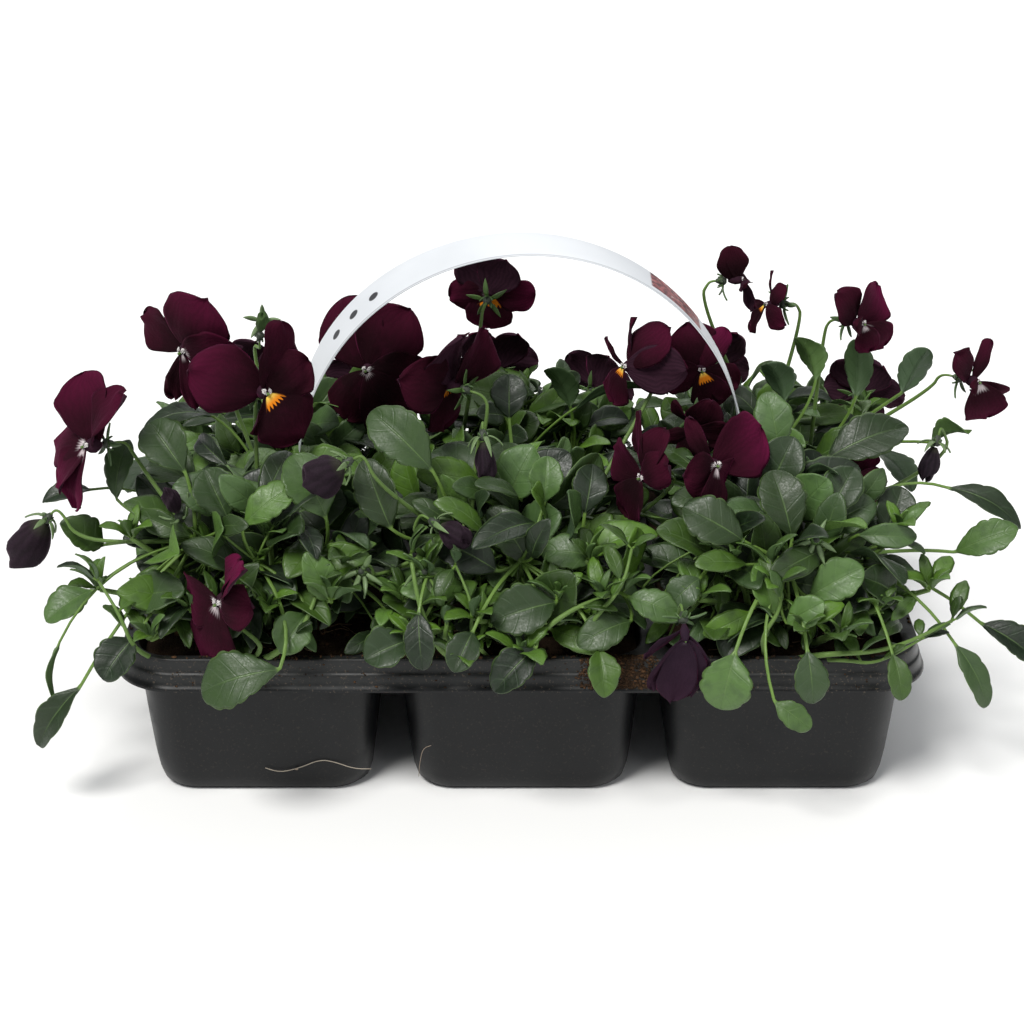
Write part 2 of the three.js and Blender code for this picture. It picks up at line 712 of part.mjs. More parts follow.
const CLEARANCE = { other: 6.2, own: 3.6, rimSide: 4, soil: 60 };

function hasRoom(leaf, owner) {
  const spots = leafSpots(leaf);
  for (const [index, spot] of spots.entries()) {
    const overTray = Math.abs(spot.x) < TRAY.length / 2 + CLEARANCE.rimSide
      && Math.abs(spot.y) < TRAY.depth / 2 + CLEARANCE.rimSide;
    if (overTray && spot.z < CLEARANCE.soil) return false;
    for (const other of taken) {
      if (other.owner === owner && index < 2) continue;
      const room = other.owner === owner ? CLEARANCE.own : CLEARANCE.other;
      if (other.spot.distanceTo(spot) < room) return false;
    }
  }
  return true;
}

// Leaves that fill the rest of a plant, spiralling up its dome by the golden angle.
const FILL = {
  tries: 160, frontCount: 13, backCount: 20, reachX: 48, reachY: 52,
  frontHeight: 58, backHeight: 40, heart: 62,
};

function fillLeaves(plant, lines) {
  const random = seededRandom(7 + plant.index);
  const front = plant.centre.y < 0;
  const wanted = front ? FILL.frontCount : FILL.backCount;
  const height = front ? FILL.frontHeight : FILL.backHeight;
  const leaves = [];
  for (let k = 0; k < FILL.tries; k++) {
    const draw = [random(), random(), random(), random(), random()];
    if (leaves.length >= wanted) break;
    const turn = k * GOLDEN_ANGLE + draw[0];
    const polar = Math.acos(1 - 1.12 * ((k * 7) % FILL.tries + 0.5) / FILL.tries);
    const out = vec(Math.cos(turn), Math.sin(turn), 0);
    const reach = 0.76 + 0.26 * draw[1];
    const tip = vec(plant.centre.x, plant.centre.y, FILL.heart);
    tip.x += FILL.reachX * Math.sin(polar) * out.x * reach;
    tip.y += FILL.reachY * Math.sin(polar) * out.y * reach;
    tip.z += height * Math.cos(polar) * reach;
    const length = 21 + 7 * draw[2];
    const along = out.clone().multiplyScalar(0.4 + Math.sin(polar))
      .addScaledVector(UP, Math.cos(polar) + 0.5 * (draw[3] - 0.3)).normalize();
    const base = tip.clone().addScaledVector(along, -length);
    const width = length * (0.7 + 0.12 * draw[4]);
    const leaf = describeLeaf(lines, plant.centre, base, tip, width, 0, false);
    if (hasRoom(leaf, plant.name)) {
      take(plant.name, leafSpots(leaf));
      leaves.push(leaf);
    }
  }
  return leaves;
}

// ---------------------------------------------------------------- plants
const PLANT_NAMES = [
  'plant_front_left', 'plant_front_middle', 'plant_front_right',
  'plant_back_left', 'plant_back_middle', 'plant_back_right',
];

const plants = cellCentres().map((centre, index) => (
  { index, name: PLANT_NAMES[index], centre, lines: stemLines(centre), parts: [], leaves: [] }
));

// What holds one bloom or bud: a calyx close behind it and a stalk from the plant's stems.
function addHolder(plant, foot, direction, sepal) {
  plant.parts.push(makeCalyx(foot, direction, sepal));
  const reachFrom = foot.clone().addScaledVector(UP, -34);
  const root = nearestOnStems(plant.lines, reachFrom);
  const points = stalkPoints(root, foot, direction);
  plant.parts.push(rod(points, PLANT.stalkRadius, 3));
  take(plant.name, lineSpots(points));
}

function addStems(plant) {
  const { crownRadius, crownFloor, crownTop, branchRadius } = PLANT;
  const crown = new THREE.CylinderGeometry(crownRadius * 0.8, crownRadius, crownTop - crownFloor, 6);
  crown.rotateX(Math.PI / 2);
  crown.translate(plant.centre.x, plant.centre.y, (crownTop + crownFloor) / 2);
  plant.parts.push(solidFromGeometry(crown));
  for (const line of plant.lines) {
    plant.parts.push(rod(line, branchRadius, 3));
    take(plant.name, lineSpots(line));
  }
}

// ---------------------------------------------------------------- the whole object
const planter = new THREE.Group();

function addNode(name, solid, colour) {
  const mesh = new THREE.Mesh(geometryFromSolid(solid), new THREE.MeshStandardMaterial(colour));
  mesh.name = name;
  planter.add(mesh);
}

addNode('tray', makeTray(), COLOURS.tray);
addNode('carry_strip', makeStrip(), COLOURS.strip);
for (const { x, z } of stripStations()) {
  take('carry_strip', [vec(x, -8, z), vec(x, 0, z), vec(x, 8, z)]);
}
for (const side of [-1, 1]) {
  for (const y of [-6, 0, 6]) {
    const x = side * STRIP.radius;
    take('carry_strip', lineSpots([vec(x, y, TRAY.height), vec(x, y, STRIP.top - STRIP.radius)]));
  }
}

plants.forEach((plant) => {
  addNode(plant.name.replace('plant', 'soil'), makeSoil(plant.centre, plant.index), COLOURS.soil);
  addStems(plant);
});

for (const [name, plantIndex, x, y, z, turn, rise, size] of BLOOMS) {
  const centre = vec(x, y, z);
  const normal = facing(turn, rise);
  addNode(name, makeBloom(centre, normal, size), COLOURS.petal);
  take(name, bloomSpots(centre, normal, size));
  const foot = centre.clone().addScaledVector(normal, -BLOOM.coreBack - CALYX.gap);
  addHolder(plants[plantIndex], foot, normal, CALYX.sepal);
}

for (const [name, plantIndex, x, y, z, dx, dy, dz, length, radius] of BUDS) {
  const centre = vec(x, y, z);
  const direction = vec(dx, dy, dz).normalize();
  addNode(name, makeBud(centre, direction, length, radius), COLOURS.bud);
  const foot = centre.clone().addScaledVector(direction, -length / 2 - CALYX.gap);
  const head = centre.clone().addScaledVector(direction, length / 2);
  take(name, [foot, centre, head]);
  addHolder(plants[plantIndex], foot, direction, CALYX.sepal * 0.7);
}

for (const [plantIndex, x, y, z, turn, rise] of SPENT) {
  addHolder(plants[plantIndex], vec(x, y, z), facing(turn, rise), CALYX.sepal);
}

for (const [plantIndex, bx, by, bz, tx, ty, tz, width, roll] of LEAVES) {
  const plant = plants[plantIndex];
  const leaf = describeLeaf(
    plant.lines, plant.centre, vec(bx, by, bz), vec(tx, ty, tz), width, roll, true);
  plant.leaves.push(leaf);
  take(plant.name, leafSpots(leaf));
}

for (const plant of plants) {
  plant.leaves.push(...fillLeaves(plant, plant.lines));
  const parts = [...plant.parts, ...plant.leaves.map(makeLeaf)];
  addNode(plant.name, fuse(parts), COLOURS.green);
}

export default planter;
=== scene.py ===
# The looks of a potted pansy planter: a six-cell bedding tray of young dark pansies with a
# carry strip over its middle. Lengths are millimetres until Shape.mesh() turns them into
# metres. +Z is up and the front of the tray looks towards -Y.
import json
from math import acos, ceil, copysign, cos, pi, radians, sin, sqrt
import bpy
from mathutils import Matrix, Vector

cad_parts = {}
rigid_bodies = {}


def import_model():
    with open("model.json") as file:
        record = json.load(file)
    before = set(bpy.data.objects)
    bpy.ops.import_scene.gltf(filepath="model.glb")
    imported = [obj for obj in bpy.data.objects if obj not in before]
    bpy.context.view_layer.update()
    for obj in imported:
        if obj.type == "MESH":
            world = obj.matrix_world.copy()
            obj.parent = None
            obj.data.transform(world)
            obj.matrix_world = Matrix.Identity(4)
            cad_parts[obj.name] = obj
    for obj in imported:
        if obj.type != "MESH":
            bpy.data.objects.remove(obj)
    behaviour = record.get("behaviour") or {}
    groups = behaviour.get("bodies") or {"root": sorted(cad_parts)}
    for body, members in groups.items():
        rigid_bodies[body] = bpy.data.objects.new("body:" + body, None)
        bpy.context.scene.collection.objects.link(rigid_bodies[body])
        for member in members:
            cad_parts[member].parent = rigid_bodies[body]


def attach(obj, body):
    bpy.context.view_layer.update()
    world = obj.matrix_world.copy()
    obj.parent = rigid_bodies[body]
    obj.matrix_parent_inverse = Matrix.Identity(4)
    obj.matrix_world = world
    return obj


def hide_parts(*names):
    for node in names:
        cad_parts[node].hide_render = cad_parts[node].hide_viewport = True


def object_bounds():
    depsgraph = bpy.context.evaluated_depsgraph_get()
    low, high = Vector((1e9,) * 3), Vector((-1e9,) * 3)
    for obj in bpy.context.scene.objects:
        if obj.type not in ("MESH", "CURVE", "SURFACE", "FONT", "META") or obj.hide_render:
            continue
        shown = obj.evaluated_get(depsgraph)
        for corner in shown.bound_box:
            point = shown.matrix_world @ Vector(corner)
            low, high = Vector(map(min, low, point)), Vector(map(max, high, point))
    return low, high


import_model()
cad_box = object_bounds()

from types import SimpleNamespace as Values

import bmesh
import bpy
import numpy as np

MM = 0.001
TURN = 2 * pi
GOLDEN_ANGLE = pi * (3 - sqrt(5))
UP = np.array([0.0, 0.0, 1.0])
SQUARE = ((-1, -1), (1, -1), (1, 1), (-1, 1))

# ---------------------------------------------------------------- driving dimensions
# The same values as in the part's source.
TRAY = Values(length=280, depth=184, height=56, corner=23, skirt=11.2, wall=1.2)
CELL = Values(
    pitch_x=90, pitch_y=90, length=82, depth=80, corner=12, draft=4, fillet=6, drain_hole=3.5)
SOIL = Values(top=52.5, gap=0.3)
STRIP = Values(
    radius=81, top=176, width=20, thickness=0.8, neck=6, barb=7,
    barb_top=52.5, barb_foot=45, taper_top=82, taper_foot=63)
PLANT = Values(
    crown_radius=3.4, crown_floor=40.4, crown_top=60, branches=6, branch_reach=25,
    branch_top=84, branch_radius=1.9, stalk_radius=0.85, petiole_width=1.5,
    petiole_thickness=1.2)
LEAF = Values(arch=0.07, cup=0.1, stalk_arc=0.3)
BLOOM = Values(core_back=4.6)
CALYX = Values(gap=0.3, sepal=6.5, length=3.2)
CLEARANCE = Values(other=6.2, own=3.6, rim_side=4, soil=60)
FILL = Values(
    tries=160, front_count=13, back_count=20, reach_x=48, reach_y=52,
    front_height=58, back_height=40, heart=62)
PLACES = [f"{row}_{column}" for row in ("front", "back") for column in ("left", "middle", "right")]

# Blooms 1 to 24: plant, x, y, z of the throat, turn, rise, petal length
BLOOMS = [
    (0, -148, -50, 118, -55, 5, 24), (0, -118, -20, 142, -38, -8, 22),
    (0, -87, -46, 136, 25, 8, 22), (4, -57, 26, 118, -15, 8, 24), (4, -11, 32, 147, 170, 12, 17),
    (1, -25, -24, 131, -125, 5, 21), (1, 38, -6, 131, -55, 5, 17), (5, 68, 28, 117, 5, 10, 16),
    (2, 62, -22, 113, 0, -20, 12), (2, 66, -58, 114, 25, 15, 19), (1, 42, -54, 108, -55, 0, 17),
    (5, 82, 36, 150, 80, 5, 12), (5, 91, 22, 145, -65, 5, 12), (5, 124, 12, 141, 45, 5, 15),
    (5, 165, 0, 123, 50, 0, 15), (2, 118, -36, 101, 10, 40, 12), (0, -100, -92, 79, -42, -8, 20),
    (2, 54, -104, 72, 5, -40, 12), (3, -116, 76, 98, 200, 10, 20), (4, -60, 84, 94, 165, 5, 20),
    (4, -10, 76, 102, 190, 15, 19), (4, 32, 92, 88, 150, 5, 18), (5, 74, 78, 100, 185, 10, 20),
    (5, 136, 70, 94, 150, 8, 17),
]

# Buds 1 to 7: plant, x, y, z of the middle, direction of the tip (x, y, z), length, radius
BUDS = [
    (0, -172, -50, 81, -0.6, 0.1, -0.8, 22, 6), (1, -66, -74, 117, -0.85, 0, -0.5, 15, 5),
    (1, -12, -54, 113, 0.1, -0.3, -1, 15, 3.6), (3, -94, 12, 142, 0.2, -0.3, 1, 9, 3),
    (0, -119, -62, 103, -0.3, -0.3, 1, 11, 3), (2, 147, -18, 98, -0.3, -0.25, -1, 13, 3.6),
    (1, -22, -78, 97, 0.8, -0.3, -0.4, 12, 3.2),
]
# How full some buds are against their solids, and the one still green in its open star
BUD_FULLNESS = {1: 1.14, 2: 1.4, 7: 1.45, 4: 0.75}
GREEN_BUD = 4

# Spent calyces whose petals have dropped: plant, x, y, z, turn, rise
SPENT = [(2, 99, -80, 96, 0, 10), (1, -54, -84, 86, -20, 0), (1, -32, -84, 86, 15, 5)]

# Petals in layers: turn from the top, length, width, layer along the face, lean of the tip
PETALS = [
    (-28, 1.0, 0.98, -3.0, -0.14), (29, 1.0, 0.98, -1.3, -0.1), (-97, 0.92, 0.86, 0.4, 0.02),
    (99, 0.92, 0.86, 0.5, 0.02), (180, 0.98, 1.16, 1.3, -0.06),
]
PETAL_ROWS = [0.34, 0.62, 0.88]
SMALL_BLOOM = Values(size=20, rows=[0.46, 0.85])

# Petals of the blooms that are folded in their own way, each with its turn, length, width,
# lean of the tip, roll about its own rib and colour from near black (0) to magenta (1)
FOLDS = {
    1: [(-27, 1.08, 0.9, -0.05, -32, 0.52), (30, 1.06, 0.76, -0.22, 22, 0.36),
        (-104, 1.1, 0.8, 0.0, -30, 0.5), (-148, 0.86, 0.66, 0.25, -15, 0.66),
        (190, 1.02, 0.66, 0.05, 0, 0.8)],
    2: [(-76, 1.16, 0.66, -0.1, -14, 0.18), (30, 1.1, 1.26, -0.1, -12, 0.46),
        (82, 1.04, 0.92, -0.3, -10, 0.5), (196, 0.86, 0.46, 0.15, 40, 0.05),
        (171, 0.98, 0.32, 0.05, 50, 0.3)],
    3: [(-66, 1.2, 1.12, -0.2, 4, 0.42), (15, 1.16, 0.94, 0.15, -30, 0.2),
        (202, 0.7, 0.42, -0.1, 30, 0.1), (62, 0.86, 0.8, -0.05, 0, 0.12),
        (148, 0.96, 1.1, -0.05, 6, 0.16)],
    4: [(-26, 1.18, 1.12, -0.2, 0, 0.28), (32, 1.18, 1.15, -0.1, 0, 0.24),
        (204, 0.92, 0.86, -0.1, 0, 0.06), (98, 1.0, 0.92, -0.05, 8, 0.03),
        (140, 1.14, 0.95, 0.0, 0, 0.12)],
    5: [(-24, 1.04, 1.0, -0.1, 0, 0.4), (30, 1.04, 1.0, -0.05, 0, 0.4),
        (-92, 1.0, 0.86, 0.0, 180, 0.52), (104, 0.96, 0.84, 0.0, 180, 0.34),
        (176, 0.96, 1.1, -0.05, 180, 0.3)],
    6: [(-34, 1.08, 1.05, -0.1, 180, 0.2), (8, 1.0, 1.1, -0.2, 0, 0.1),
        (-100, 0.8, 0.8, 0.2, 180, 0.2), (74, 1.0, 1.05, 0.32, 180, 0.16),
        (186, 0.94, 1.0, 0.1, 180, 0.18)],
    7: [(-6, 1.05, 0.26, 0.0, 30, 0.2), (26, 1.02, 1.02, -0.62, 0, 0.35),
        (-52, 0.8, 0.36, 0.1, 30, 0.05), (84, 1.0, 1.1, -0.85, 180, 0.25),
        (196, 0.9, 0.84, 0.0, 0, 0.28)],
    8: [(-14, 1.16, 1.18, -0.1, 0, 0.22), (34, 1.16, 0.6, -0.15, 20, 0.75),
        (-97, 1.0, 0.86, 0.0, 0, 0.34), (114, 0.96, 0.92, 0.0, 0, 0.14),
        (162, 0.92, 0.95, 0.05, 0, 0.14)],
    9: [(-34, 1.18, 0.5, 0.05, 40, 0.05), (22, 1.14, 1.2, 0.0, 0, 0.1),
        (-110, 0.9, 0.7, 0.0, 0, 0.1), (92, 1.1, 1.1, 0.05, 0, 0.14),
        (180, 1.0, 1.1, 0.1, 0, 0.08)],
    10: [(-20, 0.98, 0.34, -0.05, 40, 0.15), (66, 1.26, 1.28, -0.15, 0, 0.8),
        (-96, 0.72, 0.96, 0.1, 20, 0.22), (126, 0.42, 0.6, -0.2, 0, 0.55),
        (204, 1.04, 0.74, 0.0, 20, 0.2)],
    11: [(-24, 1.34, 0.58, -0.1, 20, 0.06), (14, 1.1, 0.74, -0.25, 0, 0.18),
        (-72, 1.1, 0.96, -0.1, 0, 0.26), (54, 0.84, 0.82, -0.1, 0, 0.2),
        (194, 1.0, 1.02, 0.05, 0, 0.02)],
    12: [(-4, 1.14, 1.04, 0.0, 68, 0.1), (14, 1.05, 0.8, -0.2, 52, 0.05),
        (-100, 0.5, 0.45, 0.1, 40, 0.05), (110, 0.55, 0.45, 0.1, 40, 0.1),
        (178, 1.05, 0.46, 0.2, 64, 0.05)],
    13: [(-12, 1.05, 0.4, 0.1, 30, 0.08), (28, 0.8, 0.66, -0.2, 0, 0.22),
        (-115, 0.66, 0.5, 0.0, 0, 0.1), (118, 0.95, 0.8, -0.2, 0, 0.3),
        (204, 1.08, 0.56, 0.1, 0, 0.02)],
    14: [(-36, 1.12, 1.0, 0.0, 0, 0.2), (50, 1.18, 1.24, -0.05, 0, 0.9),
        (-80, 0.56, 0.5, 0.2, 0, 0.1), (132, 1.16, 1.06, 0.0, -35, 0.46),
        (160, 0.8, 0.7, -0.05, -35, 0.4)],
    15: [(-40, 1.16, 0.8, 0.0, 0, 0.16), (34, 1.12, 0.46, 0.05, 30, 0.2),
        (-95, 0.42, 0.4, 0.1, 0, 0.1), (128, 1.05, 1.1, 0.05, -45, 0.44),
        (152, 1.22, 1.1, 0.0, -45, 0.42)],
    17: [(28, 1.0, 0.6, -0.05, 45, 0.85), (43, 1.38, 0.56, 0.16, 52, 0.98),
        (-92, 0.84, 1.1, -0.05, 0, 0.34), (84, 0.74, 0.8, -0.1, 20, 0.2),
        (200, 1.46, 1.05, 0.05, 0, 0.36)],
    18: [(-118, 1.25, 0.8, 0.55, 20, 0.3), (156, 1.3, 0.9, 0.6, -10, 0.25),
        (-146, 1.55, 1.15, 0.95, 10, 0.4), (172, 1.6, 1.1, 1.05, 0, 0.35),
        (-168, 1.66, 1.2, 1.12, 0, 0.3)],
}
# Blooms whose throat shows white instead of the yellow eye, with the reach of the white
PALE_THROATS = {1: 0.9, 2: 0.7, 4: 0.5, 9: 0.6, 10: 0.9, 11: 0.3, 14: 1.0, 15: 1.0, 16: 0.6,
                17: 0.7, 18: 0.4}
# Blooms with a larger eye than the others, and with white side petals beside the eye
WIDE_EYES = {3: 1.15, 5: 1.9, 8: 1.5}
PALE_SIDES = {5: 0.9}
# How far the petals have faded to grey
FADED = {18: 0.85}

# Leaves that show in their own right, plant by plant: base x, y, z, tip x, y, z, width, roll
# and, for the bright ones, how light they are
LEAVES = [
    [(-80, -104, 60, -107, -107, 55, 20, 10, 0.25), (-134, -72, 70, -114, -84, 80, 16, 0, 0.3),
        (-150, -88, 45, -167, -92, 24, 11, 0), (-158, -80, 57, -162, -86, 38, 9, 60),
        (-149, -60, 68, -164, -70, 62, 14, 0, 0.7), (-147, -44, 78, -160, -50, 89, 13, 0),
        (-115, -54, 110, -128, -44, 125, 17, 0), (-142, -40, 94, -139, -34, 114, 12, 0),
        (-94, -70, 97, -77, -68, 112, 13, 0), (-100, -62, 96, -108, -56, 112, 16, 0),
        (-66, -68, 99, -76, -62, 120, 19, 0), (-110, -16, 116, -133, -22, 119, 12, 20),
        (-152, -34, 95, -167, -42, 96, 9, 0), (-72, -86, 72, -80, -98, 64, 14, 0, 0.5),
        (-64, -82, 74, -70, -84, 92, 12, 0, 0.6), (-130, -88, 64, -140, -99, 54, 15, 0)],
    [(-30, -60, 113, -50, -54, 133, 18, 0, 0.3), (-44, -70, 96, -53, -62, 118, 15, 0),
        (-8, -74, 82, -29, -72, 94, 15, 0), (3, -70, 82, -9, -66, 102, 14, 0),
        (12, -86, 76, -9, -94, 74, 18, 0, 0.15), (36, -86, 78, 52, -94, 76, 12, 0, 0.6),
        (-4, -14, 114, -4, -8, 129, 14, 0), (8, -60, 101, 9, -54, 116, 12, 0, 0.7),
        (22, -58, 96, 25, -52, 112, 13, 0), (26, -70, 85, 8, -72, 90, 14, 0, 0.5),
        (37, -88, 70, 20, -98, 68, 13, 10), (-37, -94, 66, -52, -100, 62, 15, 0),
        (-34, -93, 76, -33, -104, 60, 11, 0), (5, -98, 65, -9, -108, 55, 14, 10),
        (-16, -96, 70, -22, -107, 61, 12, 0), (26, -97, 64, 28, -109, 53, 11, 0)],
    [(75, -76, 94, 55, -74, 106, 17, 0), (92, -70, 92, 86, -62, 114, 17, 0),
        (108, -32, 106, 136, -28, 119, 18, 0), (90, -38, 112, 86, -32, 131, 14, 0),
        (104, -58, 90, 121, -58, 101, 15, 0), (126, -52, 84, 133, -46, 101, 15, 0),
        (97, -82, 76, 114, -84, 88, 15, 0, 0.6), (128, -72, 72, 116, -78, 82, 15, 0),
        (152, -50, 78, 171, -56, 90, 13, 0, 0.6), (152, -30, 94, 178, -40, 87, 11, 0),
        (160, -66, 58, 179, -74, 48, 13, 0), (71, -100, 64, 66, -108, 47, 18, 0, 0.8),
        (85, -86, 72, 80, -82, 88, 11, 0, 0.9), (89, -90, 70, 100, -94, 80, 11, 0, 0.95),
        (84, -108, 50, 96, -112, 42, 9, 0, 0.5), (95, -100, 65, 97, -109, 50, 12, 0),
        (124, -96, 62, 127, -106, 50, 9, 0), (148, -82, 58, 160, -92, 40, 10, 0),
        (60, -84, 84, 50, -90, 78, 12, 0)],
    [(-104, 100, 62, -112, 110, 50, 16, 0), (-146, 82, 60, -163, 92, 44, 14, 0),
        (-76, 101, 64, -70, 112, 54, 13, 0)],
    [(20, 12, 108, 52, 6, 124, 10, 0), (19, 24, 104, 12, 22, 122, 13, 0),
        (-14, 102, 62, -22, 113, 52, 15, 0), (30, 102, 64, 40, 112, 50, 15, 0)],
    [(126, 24, 108, 126, 28, 130, 12, 0), (98, 14, 110, 92, 12, 128, 13, 0),
        (110, 20, 116, 105, 24, 133, 13, 0), (142, 18, 112, 150, 18, 130, 12, 0),
        (150, -4, 101, 161, -14, 112, 12, 0), (88, 102, 62, 80, 112, 50, 16, 0),
        (146, 84, 62, 164, 93, 46, 14, 0)],
]


# ---------------------------------------------------------------- small maths
def vec(x, y, z):
    return np.array([x, y, z], float)


def unit(v):
    return v / np.linalg.norm(v)


def length_of(v):
    return float(np.linalg.norm(v))


def lerp(a, b, t):
    return a + (b - a) * t


def curve_at(a, b, c, t):
    return (1 - t) ** 2 * a + 2 * t * (1 - t) * b + t ** 2 * c


def level(angle):
    return vec(cos(angle), sin(angle), 0)


def turned(a, b, angle):
    """The direction a, turned towards b."""
    return a * cos(angle) + b * sin(angle)


def face_of(along, hint, roll=0):
    """The direction square to a rib that looks along the hint, turned by the roll in degrees."""
    flat = unit(hint - along * (hint @ along))
    return turned(flat, np.cross(along, flat), radians(roll))


def smoothstep(low, high, value):
    t = np.clip((value - low) / (high - low), 0, 1)
    return t * t * (3 - 2 * t)


def seeded(seed):
    """The seeded draw of the part's source: a function that gives the next number in 0..1."""
    mask = 0xFFFFFFFF
    state = seed & mask

    def draw():
        nonlocal state
        state = (state + 0x6D2B79F5) & mask
        mix = ((state ^ (state >> 15)) * (state | 1)) & mask
        mix = ((mix + (((mix ^ (mix >> 7)) * (mix | 61)) & mask)) & mask) ^ mix
        return (mix ^ (mix >> 14)) / 4294967296

    return draw


def cut_corners(points, rounds=3):
    """A line of points with its corners cut again and again; both ends stay."""
    points = np.asarray(points, float)
    for _ in range(rounds):
        start, step = points[:-1], np.diff(points, axis=0)
        cut = np.empty((2 * len(start), points.shape[1]))
        cut[0::2], cut[1::2] = start + 0.25 * step, start + 0.75 * step
        cut[0], cut[-1] = points[0], points[-1]
        points = cut
    return points


def part_way(path, share):
    return path[int(share * (len(path) - 1))]


def plain(box):
    return [[float(value) for value in corner] for corner in box]


# ---------------------------------------------------------------- building meshes
class Shape:
    """Points, faces and marks of one piece. Its marks say where a point lies on its leaf,
    petal or band (`spot`) and what the whole of that leaf or petal is like (`mood`)."""

    def __init__(self):
        self.points, self.faces, self.spots, self.moods, self.paints = [], [], [], [], []
        self.count = 0

    def add(self, points, faces, spots, mood, paint=0):
        points = np.asarray(points, float).reshape(-1, 3)
        self.points.append(points)
        for marks, values in ((self.spots, spots), (self.moods, mood)):
            marks.append(np.broadcast_to(np.asarray(values, float), (len(points), 3)))
        for group in faces:
            self.faces.append(np.asarray(group) + self.count)
            self.paints.append(np.full(len(group), paint))
        self.count += len(points)

    def loft(self, rings, spots=(0, 0, 0), mood=(0, 0, 0), paint=0, head=None):
        """A closed skin through rings of equal point count, with a fan at each end."""
        rings = np.asarray(rings, float)
        rows, around = rings.shape[:2]
        head = rings[-1].mean(0) if head is None else head
        points = np.vstack([rings.reshape(-1, 3), rings[0].mean(0), head])
        step = np.arange(around)
        after = (step + 1) % around
        base = (np.arange(rows - 1) * around)[:, None]
        corners = [base + step, base + after, base + after + around, base + step + around]
        quads = np.stack(corners, -1).reshape(-1, 4)
        tip = np.full(around, rows * around)
        last = (rows - 1) * around
        fans = np.vstack([np.stack([tip, after, step], -1),
                          np.stack([tip + 1, last + step, last + after], -1)])
        triangles = np.vstack([quads[:, :3], quads[:, [0, 2, 3]], fans])
        a, b, c = (points[triangles[:, k]] for k in range(3))
        if np.sum(a * np.cross(b, c)) < 0:
            quads, fans = quads[:, ::-1], fans[:, ::-1]
        spots = np.asarray(spots, float)
        if spots.ndim == 3:
            spots = np.vstack([spots.reshape(-1, 3), spots[0].mean(0), spots[-1].mean(0)])
        self.add(points, [quads, fans], spots, mood, paint)

    def tube(self, path, radii, sides, spots=(-1, 0, 1), mood=(0, 0, 0), paint=0):
        path = np.asarray(path, float)
        radii = np.broadcast_to(np.asarray(radii, float), len(path))
        runs = np.gradient(path, axis=0)
        runs /= np.linalg.norm(runs, axis=1)[:, None]
        angles = (np.arange(sides) * TURN / sides)[:, None]
        first = UP if abs(runs[0][2]) < 0.9 else vec(1, 0, 0)
        rings = []
        for place, run, radius in zip(path, runs, radii):
            first = unit(first - run * (first @ run))
            offset = np.cos(angles) * first + np.sin(angles) * np.cross(run, first)
            rings.append(place + radius * offset)
        self.loft(rings, spots, mood, paint)

    def mesh(self, name, low=-np.inf, high=np.inf):
        """The shape as a mesh in metres, kept inside a box."""
        mesh = bpy.data.meshes.new(name)
        points = np.clip(np.vstack(self.points) * MM, low, high)
        faces = [row for group in self.faces for row in group.tolist()]
        mesh.from_pydata(points.tolist(), [], faces)
        return mesh


def new_object(name, data, home=None):
    """An object in the scene, or in a collection of its own."""
    thing = bpy.data.objects.new(name, data)
    (home or bpy.context.scene.collection).objects.link(thing)
    return thing


def make_piece(name, shape, paints, nodes, sharp=None):
    """The Blender object of a shape, riding on the planter and standing for CAD nodes."""
    mesh = shape.mesh(name, *plain(cad_box))
    for mark, values in (("spot", shape.spots), ("mood", shape.moods)):
        layer = mesh.attributes.new(mark, "FLOAT_VECTOR", "POINT")
        layer.data.foreach_set("vector", np.vstack(values).astype(np.float32).ravel())
    mesh.polygons.foreach_set("material_index", np.concatenate(shape.paints).astype(np.int32))
    mesh.update()
    dress(new_object(name, mesh), paints, nodes, sharp)


def dress(piece, paints, nodes, sharp=None):
    """Smooth shading and paints. Edges that turn by more than the sharp angle keep a crease."""
    mesh = piece.data
    mesh.polygons.foreach_set("use_smooth", np.ones(len(mesh.polygons), bool))
    for paint in paints:
        mesh.materials.append(paint)
    if sharp is not None:
        work = bmesh.new()
        work.from_mesh(mesh)
        for edge in work.edges:
            edge.smooth = edge.calc_face_angle(0) < radians(sharp)
        work.to_mesh(mesh)
        work.free()
    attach(piece, "root")
    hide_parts(*nodes)


def make_foliage(kind, plant, shape, paint):
    make_piece(f"{kind}_{plant.place}", shape, [paint], [plant.name])


# ---------------------------------------------------------------- layout, as in the source
def cell_centres():
    return [vec(column * CELL.pitch_x, row * CELL.pitch_y / 2, 0)
            for row in (-1, 1) for column in (-1, 0, 1)]


def strip_stations(steps):
    """Places along the band: x, z, outward direction and half width."""
    centre_z = STRIP.top - STRIP.radius
    leg = [
        (STRIP.barb_foot, STRIP.neck / 4), (STRIP.barb_top - 1.4, STRIP.barb / 2),
        (STRIP.barb_top - 0.7, STRIP.neck / 2), (STRIP.taper_foot, STRIP.neck / 2),
        (STRIP.taper_top, STRIP.width / 2),
    ]
    stations = [(-STRIP.radius, z, vec(-1, 0, 0), half) for z, half in leg]
    for k in range(steps + 1):
        angle = pi * (1 - k / steps)
        out = vec(cos(angle), 0, sin(angle))
        place = STRIP.radius * out
        stations.append((place[0], centre_z + place[2], out, STRIP.width / 2))
    return stations + [(STRIP.radius, z, vec(1, 0, 0), half) for z, half in leg[::-1]]


def facing(turn, rise):
    a, b = radians(turn), radians(rise)
    return vec(sin(a) * cos(b), -cos(a) * cos(b), sin(b))


def petal_width(t):
    return np.power(np.clip(np.sin(pi * np.power(t, 1.3)), 0, 1), 0.6)


def bloom_axes(normal):
    up = face_of(normal, UP)
    return up, np.cross(up, normal)


def petal_axes(normal, turn):
    along = turned(*bloom_axes(normal), radians(turn))
    return along, np.cross(along, normal)


